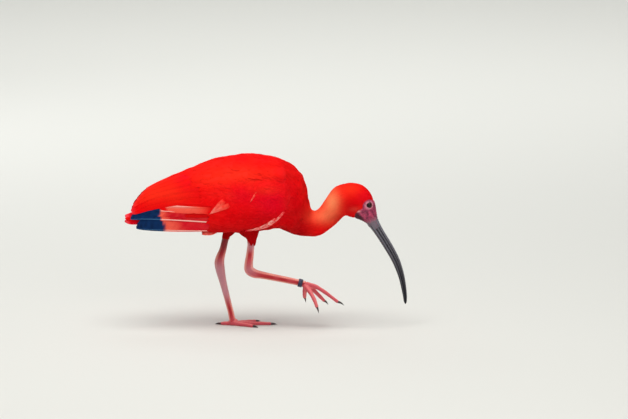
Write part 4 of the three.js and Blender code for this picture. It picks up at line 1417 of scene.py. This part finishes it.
breast_coat = small_feathers(body, breast_region, 43, 2.45, lambda r: 16 - 6 * ease(r[..., 0], 25, 66), 5.4,
                             lift=(-1.7, 0.0), arch=0.25, sway=7, ragged=0.2)
feather_piece("plumage_breast", [breast_coat], body_tint, down_finish, "scarlet_plumage", patch_at_root)
mantle_coat = small_feathers(body, mantle_region, 44, 3.0, lambda r: 20 - 7 * ease(r[..., 0], 0, 60), 7.4,
                             lift=(-2.2, -0.3), arch=0.3, sway=6)
back_coat = small_feathers(cloak, back_region, 47, 3.4, lambda r: 19 + 10 * ease(-r[..., 0], 0, 100), 8.4,
                           lift=(-2.2, 0.0), arch=0.3, sway=5)
vent_coat = small_feathers(body, vent_region, 45, 3.6, 26.0, 8.0, lift=(-2.0, 0.0), arch=0.4, sway=8,
                           ragged=0.25)
feather_piece("plumage_mantle", [mantle_coat, back_coat], body_tint, down_finish, "scarlet_plumage",
              patch_at_root)
feather_piece("plumage_vent", [vent_coat], body_tint, down_finish, "scarlet_plumage", patch_at_root)

# %% Feathers of the thighs
THIGHS = {
    "left": np.array([
        [-61.6, 20.8, 131, 11.2, 10.4],
        [-60, 21.2, 137, 13, 12.4],
        [-54.5, 22.5, 147, 21, 20],
        [-45, 24, 165, 38, 32],
    ]),
    "right": np.array([
        [-21.6, -25.5, 128, 11.6, 10.8],
        [-20.8, -26, 137, 16.5, 16],
        [-22.6, -26.5, 147, 26, 24],
        [-30, -27, 165, 46, 34],
    ]),
}


def thigh_form(rows):
    """The outside of a thigh's plumage, from the knee up."""
    def form(place, angle):
        """Middle + side x width/2 sin + front x depth/2 cos."""
        place, angle = np.broadcast_arrays(place, angle)
        middle, side, front, _ = limb_frames(rows, place)
        wide, deep = middle[..., 4:5] / 2, middle[..., 3:4] / 2
        angle = angle[..., None]
        return middle[..., :3] + side * wide * np.sin(angle) + front * deep * np.cos(angle)
    return form


# The height down to which feathers cover each thigh.
THIGH_ENDS = {"left": 134.5, "right": 131.0}
thigh_sheets = []
for seed, word in enumerate(SIDES, 46):
    thigh = Ground(thigh_form(THIGHS[word]), np.linspace(0, 3, 40), 60)
    thigh_sheets.append(small_feathers(
        thigh, lambda points, lean: points[..., 2] > THIGH_ENDS[word], seed, 2.1,
        lambda r: 7 + 5 * ease(r[..., 2], 132, 150), 3.2, lift=(-1.3, 0.2), arch=0.2, sway=9, ragged=0.25))


# Painted shade: the thighs are deep red under the body.
def shaded_thigh_tint(points, share, reach, keys):
    """Deep red, which is painted shade under the body, with luck for each feather."""
    return mix(SCARLET, DEEP_RED, 0.85) * (0.86 + 0.08 * keys["luck"][:, None, None])[..., None]


feather_piece("plumage_thighs", thigh_sheets, shaded_thigh_tint, down_finish, "scarlet_plumage", patch_at_root)

# %% [markdown]
# ## Small feathers of the wings
# Over the folded wing lie, from the shoulder back, the lesser, median and greater coverts, each longer
# than the last. The scapulars come from the shoulder blade and cover the wing's upper edge; their own
# lower edge makes a soft crease.

# %% Small feathers of the wings
COVERT_ROOT_X = -59.0


def on_side(side, test):
    """A region that keeps to one side of the bird."""
    return lambda points, lean: test(points, lean) & (points[..., 1] * side > 0)


def lesser_region(points, lean):
    """The rounded front of the folded wing."""
    x = points[..., 0]
    between = (lean > edge_angle(CREASE, x) - 6) & (lean < edge_angle(LOWER, x) - 1)
    return (x > -34) & (x < WING_FRONT_X + 3) & between


def greater_region(points, lean):
    """The middle of the wing, where the coverts are long."""
    x = points[..., 0]
    upper = (lean < 88) & (x > -74)
    between = (lean > edge_angle(CREASE, x) - 6) & (lean < edge_angle(LOWER, x) - 2)
    return ((x > COVERT_ROOT_X) | upper) & (x <= -22) & between


def scapular_region(points, lean):
    """From the midline edge to the crease."""
    x = points[..., 0]
    return (x > -88) & (x < 36) & (lean > edge_angle(MIDLINE, x) - 3) & (lean < edge_angle(CREASE, x) - 5)


def crease_relief(points, lean):
    """Mm by which plumage sinks along the crease and the midline, and swells on both sides of the crease."""
    x = points[..., 0]
    gap = lean - edge_angle(CREASE, x)
    here = ease(x, -50, 4) * (1 - ease(x, 26, 42))
    sunk_front = -1.6 * ease(x, 30, 40) - 0.7 * (1 - ease(lean, 12, 32))
    return sunk_front + here * (0.8 * bell(gap, -13, 9) - 1.3 * bell(gap, 1, 7) + 0.8 * bell(gap, 17, 10))


for word, side in SIDES.items():
    lesser = small_feathers(cloak, on_side(side, lesser_region), 51 + side, 2.5,
                            lambda r: 11 + 7 * ease(-r[..., 0], -30, 25), 6.2, lift=(-1.7, 0.0), arch=0.25,
                            heading=lambda r: 14 * ease(r[..., 0], -10, 30), sway=5, relief=crease_relief)
    greater = small_feathers(cloak, on_side(side, greater_region), 54 + side, 4.6,
                             lambda r: 22 + 8 * ease(-r[..., 0], 20, 56), 11.0, lift=(-2.0, 0.0), arch=0.35,
                             heading=2.0, sway=3, stations=7, uneven=0.07, relief=crease_relief)
    scapular = small_feathers(cloak, on_side(side, scapular_region), 57 + side, 5.2,
                              lambda r: 22 + 20 * ease(-r[..., 0], -10, 70), 13.0, lift=(-2.2, 0.5), arch=0.4,
                              heading=4.0, sway=4, stations=7, relief=crease_relief)
    coverts = feather_piece(f"coverts_{word}", [lesser, greater], body_tint, covert_finish, "scarlet_plumage",
                            patch_at_root)
    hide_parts(f"wing_{word}_shoulder", f"wing_{word}_coverts")
    scapulars = feather_piece(f"scapulars_{word}", [scapular], body_tint, covert_finish, "scarlet_plumage",
                              patch_at_root)
    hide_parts(f"wing_{word}_scapulars")

# %% [markdown]
# ## Flight feathers
# The long feathers are laid one by one. A shaft is a parabola through a root, a middle and a tip. The
# heights of the lower feathers are as the camera sees them, a little from above: a point that lies nearer
# the camera by y looks lower by y times the tangent of the camera's height angle. Inner feathers lie over
# outer ones.

# %% Laying long feathers
SEEN_SLOPE = np.tan(CAMERA_ELEVATION)
CUT_ANGLES = np.radians(np.linspace(0, 152, 400))


def angle_seen(x, seen):
    """The angle on the cloak, in degrees, at which z - |y| x SEEN_SLOPE falls to the seen height."""
    cut = on_cloak(x[..., None], CUT_ANGLES)
    heights = cut[..., 2] - np.abs(cut[..., 1]) * SEEN_SLOPE
    low = np.clip((heights > seen[..., None]).sum(-1), 1, len(CUT_ANGLES) - 1)
    above, below = (np.take_along_axis(heights, (low - k)[..., None], -1)[..., 0] for k in (1, 0))
    part = np.clip((above - seen) / (above - below + 1e-9), 0, 1)
    return np.degrees(CUT_ANGLES[low - 1] * (1 - part) + CUT_ANGLES[low] * part)


def place_at(ground, x, angle, side):
    """The ring by x, and the column by angle in degrees on that side, for a ground whose cuts are upright."""
    half = ground.columns // 2
    ring = np.interp(x, ground.points[:, half, 0], np.arange(ground.rings))
    columns = np.arange(half, ground.columns) if side == LEFT else np.arange(half, 0, -1)
    leans = ground.lean[np.round(ring).astype(int)][..., columns, 0]
    low = np.clip((leans < angle[..., None]).sum(-1), 1, len(columns) - 1)
    before, after = (np.take_along_axis(leans, (low - k)[..., None], -1)[..., 0] for k in (1, 0))
    part = (angle - before) / (after - before)
    return ring, columns[low - 1] * (1 - part) + columns[low] * part


def parabola(table, shares):
    """Points at the shares of a parabola through the table's three control points, for each feather."""
    root, middle, tip = (table[:, None, k : k + 2] for k in (0, 2, 4))
    bend = 2 * middle - (root + tip) / 2
    t = shares[None, :, None]
    return (1 - t) ** 2 * root + 2 * t * (1 - t) * bend + t**2 * tip


def long_feathers(ground, table, side, stations, seen=False, square=5, taper=0.0, tilt=0.45):
    """Feathers from rows of root, middle and tip, half widths, rises and half width of the shaft.

    Root, middle and tip are x with angle or seen height, the half widths are upper and lower, and the rises
    are at root and tip. A larger square makes a blunter tip. tilt lifts the lower edge and sinks the upper
    one by that many mm, as each feather lies over its lower neighbour.
    """
    table = np.array(table, float)
    shares = np.sin(np.linspace(0, np.pi / 2, stations + 1))[:-1] ** 0.9
    line = parabola(table, shares)
    x, angle = line[..., 0], angle_seen(line[..., 0], line[..., 1]) if seen else line[..., 1]
    rings, columns = place_at(ground, x, angle, side)
    here = ground.read(ground.points, rings, columns)
    length = np.linalg.norm(np.diff(here, axis=1), axis=2).sum(1)
    run = np.gradient(here, axis=1)
    normal = ground.read(ground.normal, rings, columns)
    sideways = np.cross(normal, run / np.linalg.norm(run, axis=2, keepdims=True))
    across = ground.steps(rings, columns, sideways)
    outline = (1 - shares**square) ** 0.5 * (0.6 + 0.4 * ease(shares, 0, 0.25)) * (1 - taper * shares)
    widths = table[:, 6:8] if side == RIGHT else table[:, 7:5:-1]
    half = widths[:, None, :] * outline[None, :, None]
    shaft = table[:, 10:11] * (1 - 0.75 * shares)
    rise = table[:, 8:9] + (table[:, 9:10] - table[:, 8:9]) * ease(shares, 0, 0.55)
    net, reach = spread(ground, rings, columns, across, LARGE_SECTION, half, shaft, rise,
                        np.full(len(x), LARGE_ARCH), -side * tilt * (1 - shares**6))
    number = np.arange(len(table))
    keys = {"number": number, "side": side, "stem": ON_SHAFT}
    return net, reach, shares, length, number, LARGE_EDGES, keys


def strips(number, vane, length, band, bands):
    """The bake map of large feathers: upright strips side by side in the sheet's own band of the map."""
    beside = 0.5 + 0.46 * vane[..., 0] / np.abs(vane[..., 0]).max()
    u = (band + (number[:, None] + beside) / len(number)) / bands
    return np.stack([u, MAP_MARGIN + (1 - 2 * MAP_MARGIN) * vane[..., 1] / length.max()], -1)


print("height 170 at x -150 lies at", angle_seen(np.array([-150.0]), np.array([170.0])).round(1), "degrees")

# %% [markdown]
# Primaries are salmon with a dark blue tip and a pale shaft. Secondaries show one salmon strip with a
# pale upper edge. Tertials are the long scarlet feathers that cover the rest like a cape; the innermost
# lie on top.

# %% Primaries, secondaries and tertials
PRIMARIES = [
    # root x, height, middle x, height, tip x, height, upper half, lower half, rise at root, at tip, shaft
    [-66, 175.5, -140, 175.6, -203, 181.0, 12, 9.0, -2.4, -0.4, 0.7],
    [-66, 156.9, -150, 163.0, -205.5, 163.8, 15, 2.2, -2.2, -0.7, 0.95],
    [-66, 144.4, -140, 146.2, -196.5, 149.0, 22, 2.8, -1.8, -0.9, 1.0],
    [-66, 143.6, -130, 144.5, -180, 148.0, 10, 2.4, -3.4, -2.4, 0.7],
]
DARK_FROM_X = [-159.3, -158.6, -152.6, -150]
SALMON_REACH_MM = np.array([14, 18, 34, 20])
SECONDARIES = [
    [-62, 185.2, -112, 187.2, -158, 190.2, 9, 3.8, -2.4, -0.1, 0.5],
    [-62, 180.8, -112, 182.2, -164, 183.8, 6, 10, -2.4, -0.2, 0.45],
    [-62, 171.5, -110, 171.0, -148, 173.0, 7, 5.0, -2.8, -0.9, 0.6],
]
TERTIALS = [
    # as above, with angles in degrees from the top for the heights
    [-62, 83.5, -140, 71, -203, 68.5, 12, 9.5, -2.8, 0.1, 0.7],
    [-60, 73, -140, 60.0, -204.5, 55, 12, 11, -2.6, 0.2, 0.75],
    [-58, 62, -138, 49.0, -202, 42, 12, 11, -2.4, 0.3, 0.75],
    [-60, 51, -137, 38.0, -196, 30, 12, 11, -2.2, 0.4, 0.75],
    [-64, 39, -136, 27, -190, 19, 11, 11, -2.0, 0.4, 0.7],
    [-72, 27, -132, 16, -182, 8, 11, 10, -1.8, 0.4, 0.7],
    # a second layer, which shows between the wings from behind
    [-66, 76, -138, 65, -196, 60, 12, 11, -6.5, -5.0, 0.7],
    [-66, 56, -137, 44, -190, 36, 12, 11, -6.5, -5.0, 0.7],
    [-66, 34, -134, 22, -181, 14, 11, 10, -6.5, -5.0, 0.7],
]


def primary_tint(points, share, reach, keys):
    """Salmon before a dark tip, crimson and deep red further up, with a pale shaft that turns blue in the
    dark part.

    The deep red is the feathers' own red, darkened by painted shade under the feathers that cover them.
    """
    x = points[..., 0]
    up = reach * keys["side"]
    number = keys["number"][:, None, None]
    tip_from = np.array(DARK_FROM_X)[number] - 0.015 * (up - 4) ** 2
    bright = 1 - ease(x, tip_from + 0.25 * SALMON_REACH_MM[number], tip_from + SALMON_REACH_MM[number])
    streak = mottle(np.stack([x * 0.15, points[..., 1] * 2, points[..., 2] * 2], -1), 4, 61)
    # Deep red towards the roots: own red, with painted shade under the covering feathers.
    red = mix(CRIMSON, DEEP_RED, 0.40 - 0.25 * (number == 2))
    base = mix(red, SALMON, 0.10 + 0.80 * bright + 0.10 * streak)
    dark = 1 - ease(x, tip_from - 0.8, tip_from + 0.8)
    vane = mix(base, NAVY * (1 + 0.2 * streak)[..., None], dark)
    shaft = mix(mix(SHELL_PINK, SHAFT_BLUE, dark), NAVY, dark * (number % 3 == 0))
    return mix(vane, shaft, keys["stem"])


def secondary_tint(points, share, reach, keys):
    """The second is salmon with a pale upper edge and a red tip, fading under the coverts. Others are red."""
    x = points[..., 0]
    up = reach * keys["side"]
    number = keys["number"][:, None, None]
    salmon = mix(coat_colour_and_light(points), SALMON, 0.92 * ease(-x, 80, 108) * (1 - 0.35 * ease(-up, 5, 9)))
    salmon = mix(salmon, SHELL_PINK, 0.65 * ease(up, -1.0, 0.6) * ease(-x, 100, 125))
    salmon = mix(salmon, SCARLET, ease(-x - 0.5 * up, 150.5, 152.5))
    other = mix(coat_colour_and_light(points), DEEP_RED, 0.15 + 0.3 * (number == 2))
    return mix(other, salmon, number == 1)


def tertial_tint(points, share, reach, keys):
    """The coat's colour and painted light, with a shaft and a lower edge that are a little deeper, a rosy
    tip, and orange painted highlight on the rear of the upper feathers.
    """
    number = keys["number"][:, None, None]
    up = reach * keys["side"]
    ridge = ease(points[..., 0], -150, -112)
    colour = mix(coat_colour_and_light(points), CRIMSON, (0.06 * number + 0.3 * (number > 3)) * ridge)
    # Painted highlight: orange where the light from above falls on the rear of the tertials.
    colour = mix(colour, ORANGE, 0.22 * (number > 1) * (1 - ridge))
    colour = mix(colour, DEEP_RED, 0.16 * (1 - ease(up, -10, -3)) + 0.14 * keys["stem"])
    return mix(colour, ROSE, 0.3 * ease(share, 0.93, 1.0))


WING_STATIONS = 44
# Name, rows, heights as seen, squareness of the tip, tint, finish, slot and the nodes that they take over.
LONG_SETS = [
    ("primaries", PRIMARIES, True, 7, primary_tint, flight_finish, "salmon_plumage", ("primaries", "tip")),
    ("secondaries", SECONDARIES, True, 7, secondary_tint, flight_finish, "scarlet_plumage", ("secondaries",)),
    ("tertials", TERTIALS, False, 5, tertial_tint, covert_finish, "orange_plumage", ("tertials",)),
]
for name, table, seen, square, tint, finish, slot, nodes in LONG_SETS:
    for word, side in SIDES.items():
        sheet = long_feathers(cloak, table, side, WING_STATIONS, seen, square)
        piece = feather_piece(f"{name}_{word}", [sheet], tint, finish, slot, strips)
        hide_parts(*(f"wing_{word}_{node}" for node in nodes))

# %% [markdown]
# A few small feathers break the smooth wing. Along its leading edge, pink on the marginal coverts is
# painted highlight, where the small feathers catch the light. One covert is ruffled, so that its pale
# underside shows as a notched wedge, and another, thin and pale, is a painted highlight along a covert's
# edge. A pale tuft of flank down hangs out behind the thighs.

# %% Small marks of the wing
LEADING_EDGE = [
    # as for the primaries
    [28, 175.0, 21, 167.5, 12, 159.0, 1.7, 2.0, -0.4, 0.6, 0.25],
    [22, 169.0, 13, 161.4, 2, 154.4, 3.6, 3.0, -0.4, 0.7, 0.25],
    [14, 162.0, 4, 155.2, -9, 149.8, 4.4, 3.6, -0.4, 0.8, 0.25],
    [5, 155.0, -7, 150.6, -20, 147.6, 3.8, 3.4, -0.4, 0.8, 0.25],
    [-5, 150.6, -17, 147.8, -31, 146.0, 2.8, 2.6, -0.4, 0.6, 0.25],
]
RUFFLED = [
    [-62.6, 192.2, -72, 182.8, -84.2, 171.6, 5.4, 5.4, 0.4, 0.8, 0.25],
    [-54.6, 185.6, -67, 179.8, -83.4, 172.2, 4.6, 4.6, 0.7, 1.1, 0.25],
]
# A thin pale feather that stands for a painted highlight along a covert's edge.
PALE_EDGE = [[-10.6, 211.0, -15.6, 201.5, -23.0, 189.8, 1.8, 1.6, 0.3, 0.6, 0.2]]
MARK_STATIONS = 14
TUFT_TAIL = np.array([-97.8, 17.0, 145.0])
TUFT_LENGTH, TUFT_HALF_WIDTH, TUFT_HALF_DEPTH = 25.0, 5.0, 3.6


def pale_tint(points, share, reach, keys):
    """Salmon with a paler tip, redder at the root."""
    colour = mix(SALMON, SHELL_PINK, 0.30 * ease(share, 0.3, 0.9))
    colour = mix(colour, SCARLET, 0.7 * (1 - ease(share, 0.0, 0.3)))
    return mix(colour, SCARLET, 0.42 + 0.2 * ease(points[..., 0], -45, -25) + 0.22 * mottle(points, 6, 63))


def edge_tint(points, share, reach, keys):
    """Pink along both edges of each covert, which is painted highlight, crimson down its middle, and red
    towards the row's ends.
    """
    x, z = points[..., 0], points[..., 2]
    rosy = ease(x, -32, -12) * (1 - ease(x, 24, 33))
    streak = mottle(np.stack([x + z, points[..., 1], z * 3], -1), 7, 62)
    pale = mix(SALMON, SHELL_PINK, 0.25 + 0.3 * streak + 0.5 * ease(share, 0.3, 0.9))
    # Painted highlight: pink along both edges of each covert.
    rim = np.abs(reach) / np.abs(reach).max(-1, keepdims=True)
    return mix(CRIMSON, pale, rosy * (0.20 + 0.65 * rim**1.5 + 0.35 * streak + 0.25 * ease(share, 0.4, 0.9)))


def tuft_form(side):
    """The outside of the flank tuft, as rings from its tail end forwards."""
    def form(place, angle):
        """An ellipse at each place from 0 to 1, whose size is 1/4 + 3/4 sin^0.8 of the half turn."""
        place, angle = np.broadcast_arrays(place, angle)
        size = 0.25 + 0.75 * np.sin(np.pi * place) ** 0.8
        out = np.stack([TUFT_LENGTH * place, TUFT_HALF_WIDTH * size * np.sin(angle),
                        TUFT_HALF_DEPTH * size * np.cos(angle)], -1)
        return TUFT_TAIL * [1, side, 1] + out
    return form


for word, side in SIDES.items():
    marks = [long_feathers(cloak, rows, side, MARK_STATIONS, True, square, taper, 0.0)
             for rows, square, taper in ((RUFFLED, 6, 0.75), (PALE_EDGE, 5, 0.3))]
    feather_piece(f"ruffled_and_highlight_coverts_{word}", marks, pale_tint, covert_finish, "salmon_plumage", strips)
    edge = long_feathers(cloak, LEADING_EDGE, side, MARK_STATIONS, True, 6)
    feather_piece(f"leading_edge_{word}", [edge], edge_tint, covert_finish, "salmon_plumage", strips)
    tuft = Ground(tuft_form(side), np.linspace(0, 1, 40), 60)
    down = small_feathers(tuft, lambda points, lean: points[..., 0] > -89, 66 + side, 1.5, 7.5, 3.4,
                          lift=(-1.2, 0.2), arch=0.15, sway=9, ragged=0.2)
    feather_piece(f"flank_tuft_{word}", [down], pale_tint, down_finish, "salmon_plumage", patch_at_root)

# %% Tail feathers
TAIL_ANGLES = (6, 28, 50, 72, 98, 124, 150)
TAIL_SCALES = (1.0, 0.8, 0.6, 0.4, 0.2)
TAIL_SOLE = 0.15
TAIL_STATIONS = 30


def tail_form(scale):
    """The folded tail: the body's end, with a flat sole, shrunk by scale towards the middle of that sole."""
    def form(place, angle):
        """Sole + (cut - sole) x scale."""
        place, angle = np.broadcast_arrays(place, angle)
        row = curve_through(BODY, place)
        shape = (np.full(place.shape, value) for value in (TAIL_SOLE, 0.95, 0.9))
        cut = on_cut(row[..., 0:2], row[..., 2:4], row[..., 4], *shape, angle)
        sole_z = row[..., 3] + TAIL_SOLE * (row[..., 1] - row[..., 3])
        sole = np.stack([row[..., 2], np.zeros_like(sole_z), sole_z], -1)
        return sole + (cut - sole) * scale
    return form


def tail_tint(points, share, reach, keys):
    """Scarlet with a rosy edge at the tip."""
    return mix(mix(SCARLET, CRIMSON, 0.5), ROSE, 0.75 * ease(share, 0.9, 0.98))


tail_sheets = []
for layer, scale in enumerate(TAIL_SCALES):
    layer_ground = Ground(tail_form(scale), np.linspace(0, 5, 60), 120)
    half_width = 7 * (0.45 + 0.55 * scale)
    rows = []
    # The two outer layers hold every feather, and the inner ones each second feather.
    for k, angle in enumerate(TAIL_ANGLES if scale > 0.7 else TAIL_ANGLES[::2]):
        tip_x = -214 + 0.06 * max(angle - 72, 0) + 1.6 * layer
        rise = 0.3 - 0.15 * k
        rows.append([-122, angle, -168, angle, tip_x, angle, half_width, half_width, rise, rise, 0.6])
    for side in (RIGHT, LEFT):
        tail_sheets.append(long_feathers(layer_ground, rows, side, TAIL_STATIONS))
tail = feather_piece("tail_feathers", tail_sheets, tail_tint, covert_finish, "scarlet_plumage", strips)
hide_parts("tail")

# %% [markdown]
# ## Stage
# A pale floor that curves up behind the bird, a wide soft light from above and in front, a fill from the
# other side and an even sky.

# %% Stage
# In metres: the level part of the floor, the radius of its bend, the top of the wall and the half width.
FLOOR_FROM, FLOOR_TO, BEND_RADIUS, WALL_TOP, FLOOR_HALF = -9.5, 5.0, 2.5, 9.0, 12.0
quarter = np.linspace(0, np.pi / 2, 40)
level = np.linspace(FLOOR_FROM, FLOOR_TO, 20)
back = np.concatenate([level, FLOOR_TO + BEND_RADIUS * np.sin(quarter), [FLOOR_TO + BEND_RADIUS]])
up = np.concatenate([np.zeros(20), BEND_RADIUS - BEND_RADIUS * np.cos(quarter), [WALL_TOP]])
across_floor = np.array([-FLOOR_HALF, FLOOR_HALF])
floor_x, floor_y = np.meshgrid(across_floor, back, indexing="ij")
floor_net = np.stack([floor_x, floor_y, np.broadcast_to(up, floor_x.shape)], -1).reshape(-1, 3)
columns = np.arange(len(back) - 1)
floor_faces = np.stack([columns, columns + len(back), columns + len(back) + 1, columns + 1], -1)
floor_mesh = bpy.data.meshes.new("floor")
floor_mesh.from_pydata(floor_net.tolist(), [], floor_faces.tolist())
floor_mesh.polygons.foreach_set("use_smooth", np.ones(len(floor_faces), bool))
floor = bpy.data.objects.new("floor", floor_mesh)
bpy.context.scene.collection.objects.link(floor)
paper, paper_tree, paper_shader = new_finish("pale_paper")
paper_grain = add_node(paper_tree, "ShaderNodeTexNoise", Scale=3.0)
paper_span = add_node(paper_tree, "ShaderNodeMapRange", {"Value": paper_grain.outputs["Fac"]},
                      To_Min=0.86, To_Max=0.9)
paper_tree.links.new(paper_span.outputs["Result"], paper_shader.inputs["Roughness"])
set_shader(paper_shader, Base_Color=(*linear("#dcdcd6"), 1.0))
floor_mesh.materials.append(paper)


def soft_light(name, place, target, size, watts, colour):
    """A round area light turned towards a point."""
    data = bpy.data.lights.new(name, "AREA")
    data.shape, data.size, data.energy = "DISK", size, watts
    data.color = colour
    light = bpy.data.objects.new(name, data)
    light.location = place
    aim = np.array(target) - np.array(place)
    yaw = np.arctan2(aim[1], aim[0])
    light.rotation_euler = (np.arccos(-aim[2] / np.linalg.norm(aim)), 0, yaw - np.pi / 2)
    bpy.context.scene.collection.objects.link(light)


soft_light("sky_light", (-0.2, -0.6, 2.6), (0, 0, 0.15), 2.4, 60, (1.0, 0.99, 0.97))
soft_light("front_light", (0.9, -2.6, 1.1), (0, 0, 0.15), 1.6, 16, (1.0, 0.98, 0.96))
soft_light("far_light", (-1.6, 2.2, 1.2), (0, 0, 0.15), 1.8, 10, (0.97, 0.98, 1.0))
soft_light("paper_light", (0, 3.0, 3.6), (0, 6.2, 0.3), 3.0, 120, (1.0, 1.0, 1.0))
world = bpy.data.worlds.new("even_sky")
world.use_nodes = True
world.node_tree.nodes["Background"].inputs["Color"].default_value = (0.90, 0.92, 0.95, 1.0)
world.node_tree.nodes["Background"].inputs["Strength"].default_value = 0.38
bpy.context.scene.world = world
